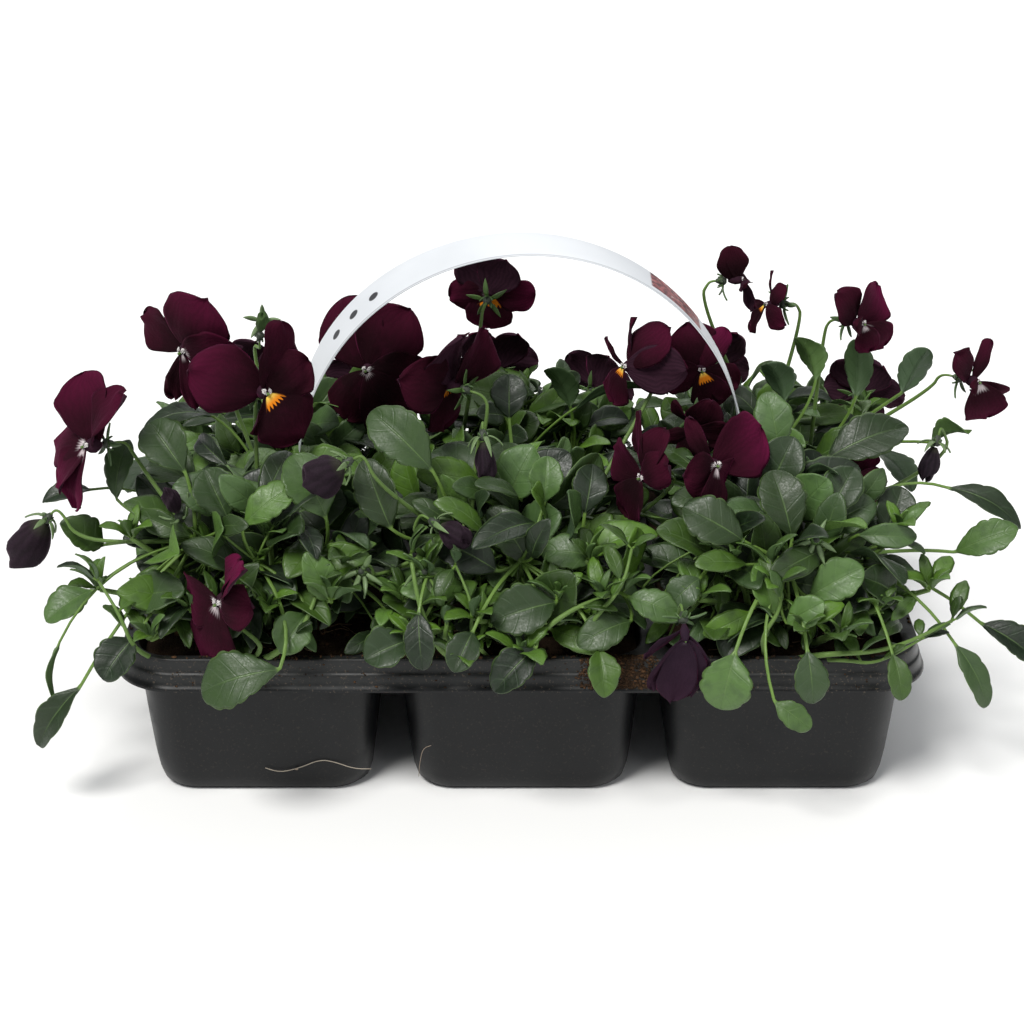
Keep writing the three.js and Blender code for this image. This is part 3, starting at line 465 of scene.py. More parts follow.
def petal_spot(centre, normal, size, index, t, across):
    turn, long, wide, layer, lean = PETALS[index]
    along, side = petal_axes(normal, turn)
    wave = 0.02 * sin(9 * t + 2 * index) * np.sign(across)
    rise = lean * t * t + 0.1 * sin(pi * t) + (wave - 0.03) * abs(across)
    return (centre + normal * (layer + rise * size) + along * (size * long * t)
            + side * (size * wide * 0.5 * across))


def stalk_points(root, foot, direction):
    outward = unit(vec(direction[0], direction[1], 0))
    neck = foot - 11 * outward - 7 * UP
    hook, joint = (foot - direction * (CALYX.length + back) for back in (5, 0))
    return [root, neck, hook, joint]


def stem_lines(centre):
    foot = centre + (PLANT.crown_top - 3) * UP
    lines = []
    for k in range(PLANT.branches):
        out = level(TURN * (k + 0.5) / PLANT.branches)
        reach = PLANT.branch_reach * (1 + 0.1 * sin(5 * k))
        end = PLANT.branch_top + 5 * sin(2.3 * k)
        lines.append([foot, centre + 71 * UP + out * reach * 0.5, centre + end * UP + out * reach])
    lines.append([foot, foot + vec(1, 2, 18), foot + vec(-2, 4.5, 38)])
    return lines


def stem_places(lines):
    return np.array([lerp(line[i], line[i + 1], k / 5 - 0.05) for line in lines
                     for i in range(len(line) - 1) for k in range(1 if i else 3, 6)])


def nearest(places, spot):
    return places[np.argmin(np.linalg.norm(places - spot, axis=1))]


def leaf_width(t):
    return np.sqrt(np.clip(1 - np.abs(2 * np.power(t, 1.3) - 1) ** 2.4, 0, 1))


def petiole_point(leaf, t):
    bend = lerp(leaf.root, leaf.base, 0.5) + UP * leaf.arc * length_of(leaf.base - leaf.root)
    return curve_at(leaf.root, bend, leaf.base, t)


def leaf_spot(leaf, t, across):
    rise = LEAF.arch * (4 * t * (1 - t) - t * t) * leaf.length
    cup = LEAF.cup * abs(across) * leaf.width
    return (leaf.base + leaf.along * (leaf.length * t) + leaf.normal * (rise + cup)
            + leaf.side * (leaf.width * 0.5 * across))


def describe_leaf(plant, base, tip, width, roll=0, hint=None, shown=False, light=0):
    length = length_of(tip - base)
    along = (tip - base) / length
    if hint is None:
        hint = vec(0, np.sign(plant.centre[1]) * 0.65, 0.75)
        hint = hint + vec(*(base - plant.centre)[:2], 0) * 0.006
    normal = face_of(along, hint, roll)
    over_rim = abs(base[0]) > TRAY.length / 2 - 4 or abs(base[1]) > TRAY.depth / 2 - 4
    return Values(
        base=base, tip=tip, length=length, width=width, along=along, normal=normal,
        side=np.cross(along, normal), root=nearest(plant.places, base),
        arc=LEAF.stalk_arc if over_rim else 0, shown=shown, light=light)


def leaf_spots(leaf):
    spots = [petiole_point(leaf, t) for t in (0.4, 0.7, 1)]
    spots += [leaf_spot(leaf, t, across * float(leaf_width(t)))
              for t in (0.3, 0.65) for across in (-0.85, 0, 0.85)]
    return np.array(spots + [leaf_spot(leaf, 1, 0)])


def bloom_spots(centre, normal, size):
    rows = PETAL_ROWS if size > SMALL_BLOOM.size else SMALL_BLOOM.rows
    spots = [centre, centre - normal * 6]
    for index in range(len(PETALS)):
        spots.append(petal_spot(centre, normal, size, index, 1, 0))
        for t in rows:
            wide = float(petal_width(t))
            spots += [petal_spot(centre, normal, size, index, t, s) for s in (-wide, 0, wide)]
    return spots


def line_spots(points):
    spots = [points[0]]
    for a, b in zip(points, points[1:]):
        count = ceil(length_of(b - a) / 6)
        spots += [lerp(a, b, k / count) for k in range(1, count + 1)]
    return spots


class Room:
    """Spots on what is already placed, each with the piece that it belongs to."""

    def __init__(self):
        self.spots = np.empty((0, 3))
        self.owners = np.empty(0, dtype="<U20")

    def take(self, owner, spots):
        spots = np.asarray(spots, float).reshape(-1, 3)
        self.spots = np.vstack([self.spots, spots])
        self.owners = np.append(self.owners, [owner] * len(spots))

    def free(self, spots, owner, other_gap, own_gap, own_from=0):
        """True if every spot keeps its gap; the first spots may lie near their own piece."""
        own = self.owners == owner
        reach = np.where(own, own_gap, other_gap)
        for index, spot in enumerate(spots):
            near = np.linalg.norm(self.spots - spot, axis=1) < reach
            if index < own_from:
                near &= ~own
            if near.any():
                return False
        return True


room = Room()


def in_tray(spots, floor):
    """True if a spot over the tray lies lower than the floor."""
    x, y, z = np.transpose(spots)
    over = abs(x) < TRAY.length / 2 + CLEARANCE.rim_side
    over &= abs(y) < TRAY.depth / 2 + CLEARANCE.rim_side
    return np.any(over & (z < floor))


def fill_leaves(plant):
    """Large leaves between those that show, in even turns round the plant."""
    draw = seeded(7 + plant.index)
    front = plant.centre[1] < 0
    wanted = FILL.front_count if front else FILL.back_count
    height = FILL.front_height if front else FILL.back_height
    leaves = []
    for k in range(FILL.tries):
        d = [draw() for _ in range(5)]
        if len(leaves) >= wanted:
            break
        polar = acos(1 - 1.12 * ((k * 7) % FILL.tries + 0.5) / FILL.tries)
        out = level(k * GOLDEN_ANGLE + d[0])
        reach = 0.76 + 0.26 * d[1]
        tip = plant.centre + FILL.heart * UP
        tip += reach * vec(FILL.reach_x * sin(polar) * out[0],
                           FILL.reach_y * sin(polar) * out[1], height * cos(polar))
        length = 21 + 7 * d[2]
        along = unit(out * (0.4 + sin(polar)) + UP * (cos(polar) + 0.5 * (d[3] - 0.3)))
        leaf = describe_leaf(plant, tip - along * length, tip, length * (0.7 + 0.12 * d[4]))
        spots = leaf_spots(leaf)
        if not in_tray(spots, CLEARANCE.soil) and room.free(
                spots, plant.name, CLEARANCE.other, CLEARANCE.own, own_from=2):
            room.take(plant.name, spots)
            leaves.append(leaf)
    return leaves


def start_plant(index, centre):
    lines = stem_lines(centre)
    return Values(index=index, name="plant_" + PLACES[index], place=PLACES[index],
                  centre=centre, lines=lines, places=stem_places(lines), leaves=[], holders=[])


def add_holder(plant, foot, direction, sepal, kind):
    points = stalk_points(nearest(plant.places, foot - 34 * UP), foot, direction)
    plant.holders.append(
        Values(foot=foot, direction=direction, sepal=sepal, points=points, kind=kind))
    room.take(plant.name, line_spots(points))


def lay_out():
    """Every stem, bloom, bud and leaf of the part's source, placed by its rule."""
    plants = [start_plant(index, centre) for index, centre in enumerate(cell_centres())]
    for x, z, _, _ in strip_stations(26):
        room.take("carry_strip", [vec(x, y, z) for y in (-8, 0, 8)])
    for x in (-STRIP.radius, STRIP.radius):
        for y in (-6, 0, 6):
            leg = [vec(x, y, TRAY.height), vec(x, y, STRIP.top - STRIP.radius)]
            room.take("carry_strip", line_spots(leg))
    for plant in plants:
        for line in plant.lines:
            room.take(plant.name, line_spots(line))
    for number, (plant, x, y, z, turn, rise, size) in enumerate(BLOOMS, 1):
        centre, normal = vec(x, y, z), facing(turn, rise)
        room.take(f"bloom_{number:02d}", bloom_spots(centre, normal, size))
        foot = centre - normal * (BLOOM.core_back + CALYX.gap)
        add_holder(plants[plant], foot, normal, CALYX.sepal, "bloom")
    for number, (plant, x, y, z, dx, dy, dz, length, _) in enumerate(BUDS, 1):
        centre, direction = vec(x, y, z), unit(vec(dx, dy, dz))
        foot = centre - direction * (length / 2 + CALYX.gap)
        room.take(f"bud_{number:02d}", [foot, centre, centre + direction * length / 2])
        kind = "open" if number == GREEN_BUD else "bud"
        add_holder(plants[plant], foot, direction, CALYX.sepal * 0.7, kind)
    for plant, x, y, z, turn, rise in SPENT:
        add_holder(plants[plant], vec(x, y, z), facing(turn, rise), CALYX.sepal, "spent")
    for plant, rows in zip(plants, LEAVES):
        for bx, by, bz, tx, ty, tz, width, roll, *light in rows:
            leaf = describe_leaf(plant, vec(bx, by, bz), vec(tx, ty, tz), width, roll,
                                 shown=True, light=light[0] if light else 0)
            plant.leaves.append(leaf)
            room.take(plant.name, leaf_spots(leaf))
    for plant in plants:
        plant.leaves += fill_leaves(plant)
    return plants


# ---------------------------------------------------------------- paints
class Paint:
    """A material, its nodes put together step by step. Its skin is the colour so far."""

    def __init__(self, name, **shader):
        self.material = bpy.data.materials.new(name)
        self.material.use_nodes = True
        self.tree = self.material.node_tree
        self.shader = self.tree.nodes["Principled BSDF"].inputs
        for key, value in shader.items():
            self.feed(self.shader[key.replace("_", " ")], value)

    def feed(self, socket, value):
        if isinstance(value, bpy.types.NodeSocket):
            self.tree.links.new(value, socket)
        else:
            socket.default_value = (*value, 1) if socket.type == "RGBA" else value

    def put(self, kind, inputs, **settings):
        node = self.tree.nodes.new("ShaderNode" + kind)
        for key, value in settings.items():
            setattr(node, key, value)
        for key, value in inputs.items():
            self.feed(node.inputs[key], value)
        return node.outputs

    def calc(self, operation, a, b=0.0, c=0.0):
        return self.put("Math", {0: a, 1: b, 2: c}, operation=operation)[0]

    def times(self, value, *factors):
        for factor in factors:
            value = self.calc("MULTIPLY", value, factor)
        return value

    def line(self, value, slope, start):
        return self.calc("MULTIPLY_ADD", value, slope, start)

    def smooth(self, value, low, high):
        inputs = {"Value": value, "From Min": low, "From Max": high}
        return self.put("MapRange", inputs, interpolation_type="SMOOTHSTEP")["Result"]

    def within(self, value, low, high, soft):
        return self.times(self.smooth(value, low - soft, low + soft),
                          self.smooth(value, high + soft, high - soft))

    def mix(self, share, a, b):
        return self.put("Mix", {0: share, 6: a, 7: b}, data_type="RGBA")[2]

    def coat(self, colour, *shares):
        """Lays a colour over the skin, as far as the product of the shares."""
        self.skin = self.mix(self.times(*shares), self.skin, colour)

    def where(self):
        return self.put("TexCoord", {})["Object"]

    def noise(self, scale, detail=3, roughness=0.5):
        inputs = {"Vector": self.where(), "Scale": scale, "Detail": detail, "Roughness": roughness}
        return self.put("TexNoise", inputs)["Fac"]

    def mark(self, name):
        """The three numbers of a mark."""
        vector = self.put("Attribute", {}, attribute_name=name)["Vector"]
        return tuple(self.put("SeparateXYZ", {"Vector": vector}))

    def finish(self, roughness=None, height=None, strength=0, distance=0):
        """The material with its skin and, if they are given, its gloss and its relief."""
        self.feed(self.shader["Base Color"], self.skin)
        if roughness is not None:
            self.feed(self.shader["Roughness"], roughness)
            inputs = {"Height": height, "Strength": strength, "Distance": distance}
            self.feed(self.shader["Normal"], self.put("Bump", inputs)[0])
        return self.material


def paint_leaf():
    paint = Paint("leaf_green", Specular_IOR_Level=0.5)
    along, across, side = paint.mark("spot")
    tint, young, teeth = paint.mark("mood")
    off_rib = paint.calc("ABSOLUTE", across)
    blotch, grain = paint.noise(260), paint.noise(1400, 2)
    # tint runs from dark to light green: each leaf's own random tone, together with the painted
    # shade of the leaves deep inside the bush
    paint.skin = paint.mix(tint, (0.0026, 0.0095, 0.0016), (0.08, 0.154, 0.044))
    paint.coat((0.084, 0.18, 0.013), young)
    paint.coat((0.015, 0.036, 0.01), paint.smooth(blotch, 0.4, 0.8), 0.45)
    # side veins leave the rib at a slant, one for each tooth of the edge
    slant = paint.line(off_rib, -0.24, along)
    phase = paint.calc("FRACT", paint.times(teeth, 16, slant))
    vein = paint.smooth(paint.calc("ABSOLUTE", paint.calc("SUBTRACT", phase, 0.5)), 0.4, 0.5)
    rib = paint.smooth(off_rib, 0.06, 0.015)
    paint.coat(paint.mix(young, (0.044, 0.086, 0.034), (0.12, 0.225, 0.035)), vein, 0.14)
    paint.coat((0.12, 0.2, 0.06), paint.smooth(off_rib, 0.9, 1), 0.7)
    paint.coat((0.095, 0.165, 0.045), paint.smooth(along, 1, 0.25), 0.6, rib)
    under = paint.mix(young, (0.052, 0.092, 0.042), (0.11, 0.205, 0.04))
    paint.coat(under, paint.smooth(side, 0, -0.3))
    # pale sepals are marked by the lack of teeth, and stalks lie before the blade's start
    paint.coat((0.19, 0.27, 0.125), paint.smooth(teeth, 0.1, 0), 0.55)
    stalk = paint.mix(blotch, (0.075, 0.155, 0.018), (0.155, 0.26, 0.05))
    paint.coat(stalk, paint.smooth(along, 0.06, -0.02))
    relief = paint.line(grain, 0.35, paint.line(vein, -0.35, paint.times(rib, -0.8)))
    return paint.finish(paint.smooth(grain, -0.82, 1.85), relief, 0.45, 0.0004)


def paint_stem():
    paint = Paint("stem_green", Specular_IOR_Level=0.45, Sheen_Weight=0.1,
                  Sheen_Roughness=0.5, Sheen_Tint=(0.85, 0.95, 0.85))
    tint, young, _ = paint.mark("mood")
    grain = paint.noise(1700, 2)
    paint.skin = paint.mix(paint.noise(330), (0.062, 0.13, 0.016), (0.135, 0.23, 0.045))
    paint.coat((0.02, 0.021, 0.022), tint, 0.5)
    paint.coat((0.13, 0.225, 0.045), young, 0.5)
    return paint.finish(paint.smooth(grain, -0.8, 1.5), grain, 0.4, 0.0003)


def paint_petal():
    paint = Paint("petal_velvet", Specular_IOR_Level=0.1, Sheen_Weight=0.1,
                  Sheen_Roughness=0.35, Sheen_Tint=(0.8, 0.08, 0.34))
    along, across, side = paint.mark("spot")
    tint, lower, faded = paint.mark("mood")
    off_rib = paint.calc("ABSOLUTE", across)
    blotch, grain = paint.noise(150), paint.noise(2600, 2)
    # fine veins fan out from the throat
    fan = paint.line(across, 30, paint.times(blotch, 22))
    vein = paint.line(paint.calc("SINE", fan), 0.5, 0.5)
    deep = paint.mix(tint, (0.008, 0.0014, 0.0026), (0.032, 0.0022, 0.01))
    outer = paint.mix(tint, (0.02, 0.0019, 0.0052), (0.12, 0.005, 0.04))
    paint.skin = paint.mix(paint.smooth(along, 0.25, 1.05), deep, outer)
    paint.coat((0.008, 0.0012, 0.003), vein, 0.16)
    paint.coat((0.042, 0.003, 0.014), paint.smooth(blotch, 0.45, 0.8), 0.45)
    # painted shade on the petal edges: they are darkened to dim the bright line that the sheen
    # draws along the thin edge
    edge = paint.smooth(paint.calc("MAXIMUM", off_rib, along), 0.95, 1)
    paint.coat((0.016, 0.0018, 0.006), edge, 0.6)
    plum = paint.mix(vein, (0.024, 0.0085, 0.016), (0.033, 0.0115, 0.0215))
    paint.coat(plum, paint.smooth(side, -0.05, -0.4))
    front = paint.smooth(side, 0.2, 0.5)
    # the eye of the lower petal: yellow-orange with dark whiskers
    whisker = paint.calc("SINE", paint.times(across, 34))
    reach = paint.line(whisker, 0.035, paint.times(lower, 0.19))
    eye = paint.smooth(paint.calc("SUBTRACT", reach, along), 0, 0.03)
    gold = paint.mix(paint.smooth(along, 0.04, 0.17), (0.8, 0.55, 0.1), (0.72, 0.21, 0.01))
    paint.coat(gold, eye, paint.smooth(off_rib, 0.6, 0.42), front, paint.smooth(lower, 0.2, 0.8))
    # a white smear at the throat of the blooms without an eye
    smear = paint.line(lower, -0.24, paint.times(whisker, 0.02))
    white = paint.smooth(paint.calc("SUBTRACT", smear, along), 0, 0.12)
    paint.coat((0.62, 0.54, 0.56), white, paint.smooth(off_rib, 0.65, 0.2), front,
               paint.smooth(lower, -0.1, -0.4), 0.85)
    paint.coat(paint.mix(blotch, (0.011, 0.0065, 0.013), (0.03, 0.016, 0.029)), faded)
    return paint.finish(paint.smooth(grain, -1.6, 1), paint.line(vein, 0.5, grain), 0.35, 0.0003)


def paint_bud():
    paint = Paint("bud_plum", Specular_IOR_Level=0.2, Sheen_Weight=0.12,
                  Sheen_Roughness=0.4, Sheen_Tint=(0.7, 0.4, 0.62))
    along, across, _ = paint.mark("spot")
    tint, green, _ = paint.mark("mood")
    grain = paint.noise(2200, 2)
    streak = paint.calc("SINE", paint.line(across, 75, paint.times(paint.noise(300), 6)))
    dark, light = (0.006, 0.0032, 0.0064), (0.0125, 0.0066, 0.0125)
    paint.skin = paint.mix(paint.smooth(streak, -1, 1), dark, light)
    paint.coat((0.02, 0.005, 0.012), tint, 0.3)
    paint.coat((0.03, 0.03, 0.02), paint.smooth(along, 0.2, 0))
    paint.coat((0.045, 0.085, 0.024), green)
    relief = paint.line(streak, 0.3, grain)
    return paint.finish(paint.smooth(grain, -1.2, 1.2), relief, 0.4, 0.0003)


def paint_hair():
    paint = Paint("throat_hair", Roughness=0.6, Sheen_Weight=0.3)
    paint.skin = paint.mix(paint.noise(900, 2), (0.62, 0.56, 0.6), (0.92, 0.9, 0.84))
    return paint.finish()


def paint_tray():
    paint = Paint("tray_black", Specular_IOR_Level=0.32)
    coarse, fine = paint.noise(16, 4, 0.6), paint.noise(900, 3, 0.6)
    height = paint.put("SeparateXYZ", {"Vector": paint.where()})[2]
    smear = paint.smooth(paint.noise(55, 5, 0.65), 0.45, 0.75)
    paint.skin = paint.mix(smear, (0.0024, 0.0028, 0.0036), (0.006, 0.0066, 0.0078))
    # the rim is paler and holds more dust than the cells
    paint.coat((0.019, 0.02, 0.0195), paint.smooth(height, 0.044, 0.049), 0.6)
    dusty = paint.line(paint.smooth(height, 0.042, 0.047), 0.6, 0.2)
    dust = paint.smooth(paint.noise(1100, 2, 0.7), 0.6, 0.68)
    paint.coat((0.075, 0.058, 0.042), dust, dusty)
    gloss = paint.line(smear, 0.22, paint.smooth(coarse, -1, 2.6))
    return paint.finish(gloss, paint.line(coarse, 3, paint.times(fine, 0.12)), 0.25, 0.0006)


# Marks on the band, the print and a grey line along the front edge of its outer face: their reach
# across the band and the run along it
BAND_MARKS = Values(
    edge=(-9.6, -8.9), edge_run=(60, 290), block=(-6.5, 9.4), block_run=(226.5, 251),
    dots=(100.5, 110.5, 120.5), dot_rim=(2.3, 1.9))


def paint_strip():
    """White plastic band, with a mottled dark red block, three grey dots and a grey edge."""
    paint = Paint("strip_white", Specular_IOR_Level=0.5)
    run, wide, face = paint.mark("spot")
    cloud, fine = paint.noise(60), paint.noise(1200, 2)
    outside = paint.smooth(face, 0, 0.5)
    paint.skin = paint.mix(cloud, (0.63, 0.655, 0.69), (0.69, 0.715, 0.75))
    # a grey line along the front edge of the band's outer face
    paint.coat((0.25, 0.26, 0.28), paint.within(wide, *BAND_MARKS.edge, 0.1),
               paint.within(run, *BAND_MARKS.edge_run, 1), outside, 0.55)
    speckle = paint.smooth(paint.noise(420, 4, 0.7), 0.42, 0.6)
    pale = paint.smooth(paint.noise(640, 2), 0.6, 0.68)
    block = paint.mix(speckle, (0.06, 0.008, 0.014), (0.36, 0.09, 0.09))
    block = paint.mix(paint.times(pale, 0.7), block, (0.55, 0.38, 0.36))
    paint.coat(block, paint.within(run, *BAND_MARKS.block_run, 0.5),
               paint.within(wide, *BAND_MARKS.block, 0.3), outside)
    for place in BAND_MARKS.dots:
        along = paint.calc("SUBTRACT", run, place)
        away = paint.calc("SQRT", paint.line(along, along, paint.times(wide, wide)))
        paint.coat((0.02, 0.02, 0.024), paint.smooth(away, *BAND_MARKS.dot_rim), outside, 0.97)
    return paint.finish(paint.smooth(cloud, -1.1, 2.4), paint.line(fine, 0.2, cloud), 0.12, 0.0006)


def paint_soil():
    paint = Paint("peat_soil", Specular_IOR_Level=0.15)
    tint, _, _ = paint.mark("mood")
    clump, grit = paint.noise(230, 5, 0.7), paint.noise(1300, 3, 0.7)
    paint.skin = paint.mix(clump, (0.0095, 0.0062, 0.0042), (0.048, 0.028, 0.016))
    paint.coat((0.13, 0.066, 0.032), tint, 0.75)
    paint.coat((0.075, 0.048, 0.028), paint.smooth(grit, 0.6, 0.75))
    return paint.finish(paint.smooth(grit, -3, 0.9), paint.calc("ADD", clump, grit), 0.9, 0.0009)


def paint_fibre():
    paint = Paint("root_fibre", Roughness=0.8)
    tint, _, _ = paint.mark("mood")
    paint.skin = paint.mix(paint.noise(200), (0.12, 0.062, 0.028), (0.23, 0.14, 0.07))
    paint.coat((0.42, 0.37, 0.3), tint)
    return paint.finish()


def paint_floor():
    paint = Paint("pale_floor", Roughness=0.9)
    paint.skin = paint.mix(paint.noise(2, 2), (0.9, 0.9, 0.9), (0.92, 0.92, 0.92))
    return paint.finish()


# ---------------------------------------------------------------- tray
MOUTH_FLARE = 1.5
DRAIN = Values(x=15, y=12)
SLOT = Values(play=0.4, reach=2.4)


def rounded_ring(length, depth, corner, z, segments, centre=(0, 0)):
    ring = []
    for quarter in range(4):
        sx = 1 if quarter in (0, 3) else -1
        sy = 1 if quarter < 2 else -1
        for k in range(segments + 1):
            angle = (quarter + k / segments) * TURN / 4
            ring.append(vec(centre[0] + sx * (length / 2 - corner) + corner * cos(angle),
                            centre[1] + sy * (depth / 2 - corner) + corner * sin(angle), z))
    return np.array(ring)


def cell_rings(centre, inset, floor, brim, flare=0.0):
    """The cell's inner face, or its outer face at a negative inset, from floor to brim."""
    f = CELL.fillet
    profile = cut_corners([(floor, f * 0.6), (floor + f * 0.6, f * 0.05), (brim, 0)], 2)
    if flare:
        edge = brim - 1.0
        rounding = [(edge - flare, 0), (edge - 0.3 * flare, -0.25 * flare),
                    (edge, -flare), (brim, -flare)]
        profile = np.array([row for row in profile if row[0] < brim - 3] + rounding)
    rings = []
    for z, tuck in profile:
        narrow = 2 * (CELL.draft * (TRAY.height - z) / TRAY.height + tuck + inset)
        corner = max(CELL.corner - inset - tuck * 0.4, 4)
        rings.append(rounded_ring(CELL.length - narrow, CELL.depth - narrow, corner, z, 9, centre))
    return rings


def lofted(name, rings, home=None):
    shape = Shape()
    shape.loft(rings)
    return new_object(name, shape.mesh(name), home)


def carve(piece, operation, solids):
    """One boolean of the piece with a list of lofted solids, applied at once."""
    group = bpy.data.collections.new("solids")
    bpy.context.scene.collection.children.link(group)
    for rings in solids:
        lofted("solid", rings, group)
    change = piece.modifiers.new("carve", "BOOLEAN")
    change.operation, change.solver = operation, "EXACT"
    change.operand_type, change.collection = "COLLECTION", group
    bpy.context.view_layer.update()
    result = piece.evaluated_get(bpy.context.evaluated_depsgraph_get())
    result = bpy.data.meshes.new_from_object(result)
    piece.modifiers.clear()
    piece.data = result
    for part in list(group.objects):
        bpy.data.objects.remove(part)
    bpy.data.collections.remove(group)


def make_tray(material):
    height, wall = TRAY.height, TRAY.wall
    lip = height - TRAY.skirt
    # inset from the outer edge and height of the skirt's outer and inner face
    profile = [
        (0, lip), (0, lip + 1), (1.3, lip + 2.4), (1.6, lip + 5.8),
        (2.6, lip + 6.3), (2.9, height - 1.2), (3.2, height), (5.2, height),
    ]
    cavity = [
        (wall, lip - 2), (wall, lip + 1), (wall + 1.4, lip + 2.6),
        (wall + 2.6, lip + 6.6), (wall + 2.9, height - 2), (wall + 4.2, height - wall),
    ]

    def skirt_rings(rows):
        return [rounded_ring(TRAY.length - 2 * inset, TRAY.depth - 2 * inset,
                             TRAY.corner - inset, z, 20) for inset, z in rows]

    tray = lofted("tray_shell", skirt_rings(cut_corners(profile, 2)))
    carve(tray, "DIFFERENCE", [skirt_rings(cavity)])
    centres = cell_centres()
    carve(tray, "UNION", [cell_rings(c, -wall, 0, height - wall / 2) for c in centres])
    holes = []
    angles = np.arange(16) * TURN / 16
    circle = np.stack([np.cos(angles), np.sin(angles), np.zeros(16)], -1)
    for centre in centres:
        holes.append(cell_rings(centre, 0, wall, height + 1, flare=MOUTH_FLARE))
        for side in (-1, 1):
            drain = centre + vec(side * DRAIN.x, side * DRAIN.y, 0) + CELL.drain_hole * circle
            holes.append([drain - 2 * UP, drain + 3 * UP])
    for side in (-1, 1):
        slot = np.array([vec(side * STRIP.radius + sx * STRIP.thickness,
                             sy * (STRIP.barb + SLOT.play) / 2, height)
                         for sx, sy in SQUARE])
        holes.append([slot - SLOT.reach * UP, slot + SLOT.reach * UP])
    carve(tray, "DIFFERENCE", holes)
    dress(tray, [material], ["tray"], sharp=32)
    tray.modifiers.new("even_shading", "WEIGHTED_NORMAL").keep_sharp = True


# ---------------------------------------------------------------- carry strip
# The band leans a little towards the front on its left side: by how many degrees, and where
# along the band that comes and goes
TWIST = Values(angle=14, comes=(30, 95), goes=(250, 110))


def make_strip(material):
    stations = strip_stations(96)
    places = np.array([vec(x, 0, z) for x, z, _, _ in stations])
    runs = np.concatenate([[0], np.cumsum(np.linalg.norm(np.diff(places, axis=0), axis=1))])
    shares = np.linspace(-1, 1, 9)
    thin = STRIP.thickness / 2 * np.sqrt(1 - np.clip(np.abs(shares), 0, 0.985) ** 12)
    rings, spots = [], []
    for (_, _, out, half), place, run in zip(stations, places, runs):
        lean = smoothstep(*TWIST.comes, run) * smoothstep(*TWIST.goes, run)
        lean = radians(TWIST.angle * lean)
        across = vec(0, cos(lean), 0) + out * sin(lean)
        face = out * cos(lean) - vec(0, sin(lean), 0)
        middle = place - UP * half * sin(lean) * max(out[2], 0)
        ring, marks = [], []
        for side in (1, -1):
            ring += [middle + across * (s * half) + face * (side * h)
                     for s, h in zip(shares[::side], thin[::side])]
            marks += [(run, s * half, side) for s in shares[::side]]
        rings.append(ring)
        spots.append(marks)
    shape = Shape()
    shape.loft(rings, np.array(spots))
    make_piece("carry_band", shape, [material], ["carry_strip"], sharp=50)


# ---------------------------------------------------------------- soil
PEAT = Values(crumbs=340, crumbs_x=37, crumbs_y=36, fibres=46, fibres_x=33, fibres_y=32)
RIM_PEAT = Values(x=33, half_width=14, crumbs=2100)
LOOSE_PEAT = Values(face=260, front=170, sides=60, face_x=118, front_x=120, side_y=66)
# The twelve corners of an icosahedron
CRUMB = [(0, s1, s2 * 1.618) for s1 in (-1, 1) for s2 in (-1, 1)]
CRUMB = np.array([np.roll(row, k) for row in CRUMB for k in range(3)], float) / 1.9


def crumb_faces():
    work = bmesh.new()
    for point in CRUMB:
        work.verts.new(point)
    bmesh.ops.convex_hull(work, input=work.verts)
    work.verts.index_update()
    faces = [[v.index for v in face.verts] for face in work.faces]
    work.free()
    return np.array(faces)


CRUMB_FACES = crumb_faces()


def add_crumb(shape, x, y, z, radius, draw):
    stretch = np.array([0.6 + 0.9 * draw(), 0.6 + 0.9 * draw(), 0.5 + 0.5 * draw()])
    jitter = np.array([0.75 + 0.5 * draw() for _ in CRUMB])[:, None]
    points = vec(x, y, z) + CRUMB * jitter * stretch * radius
    shape.add(points, [CRUMB_FACES], (0, 0, 0), (draw() ** 3, 0, 0))


def make_soil(plant, soil, fibre):
    draw = seeded(100 + plant.index)
    field = [(0.5 / (k + 1), 0.25 * (k + 1) * (draw() - 0.5) * 2,
              0.25 * (k + 1) * (draw() - 0.5) * 2, TURN * draw()) for k in range(6)]
    cx, cy, _ = plant.centre

    def top_at(x, y):
        """Height of the bed at a place: swollen in the middle, with soft lumps."""
        px, py = (x - cx) / (CELL.length / 2), (y - cy) / (CELL.depth / 2)
        away = np.clip(np.sqrt(px ** 2 + py ** 2), 0, 1.3)
        lumps = sum(a * np.sin(kx * x + ky * y + p) for a, kx, ky, p in field)
        return SOIL.top + 0.9 - 1.5 * away ** 2 + lumps

    def somewhere(reach_x, reach_y):
        angle, share = TURN * draw(), sqrt(draw())
        return cx + share * reach_x * cos(angle), cy + share * reach_y * sin(angle)

    rings = cell_rings(plant.centre, SOIL.gap, TRAY.wall + SOIL.gap, SOIL.top - 2)
    brim = rings[-1]
    for share in np.linspace(0.97, 0.1, 14):
        ring = plant.centre + (brim - plant.centre) * share
        ring[:, 2] = top_at(ring[:, 0], ring[:, 1])
        ring[:, 2] += [0.5 * (draw() - 0.5) for _ in ring]
        rings.append(ring)
    shape = Shape()
    shape.loft(rings)
    for _ in range(PEAT.crumbs):
        x, y = somewhere(PEAT.crumbs_x, PEAT.crumbs_y)
        radius = 0.5 + 1.3 * draw() ** 2
        add_crumb(shape, x, y, top_at(x, y) + 0.2 * radius, radius, draw)
    make_piece("peat_" + plant.place, shape, [soil], ["soil_" + plant.place])
    shape = Shape()
    for _ in range(PEAT.fibres):
        x, y = somewhere(PEAT.fibres_x, PEAT.fibres_y)
        turn, path = TURN * draw(), []
        for _ in range(5):
            path.append(vec(x, y, top_at(x, y) + 0.5 + 0.6 * draw()))
            turn += 1.3 * (draw() - 0.5)
            x += 2.4 * cos(turn)
            y += 2.4 * sin(turn)
        radius = 0.12 + 0.2 * draw()
        shape.tube(cut_corners(path, 1), radius, 4, mood=(0.25 * draw(), 0, 0))
    make_piece("fibres_" + plant.place, shape, [fibre], ["soil_" + plant.place])


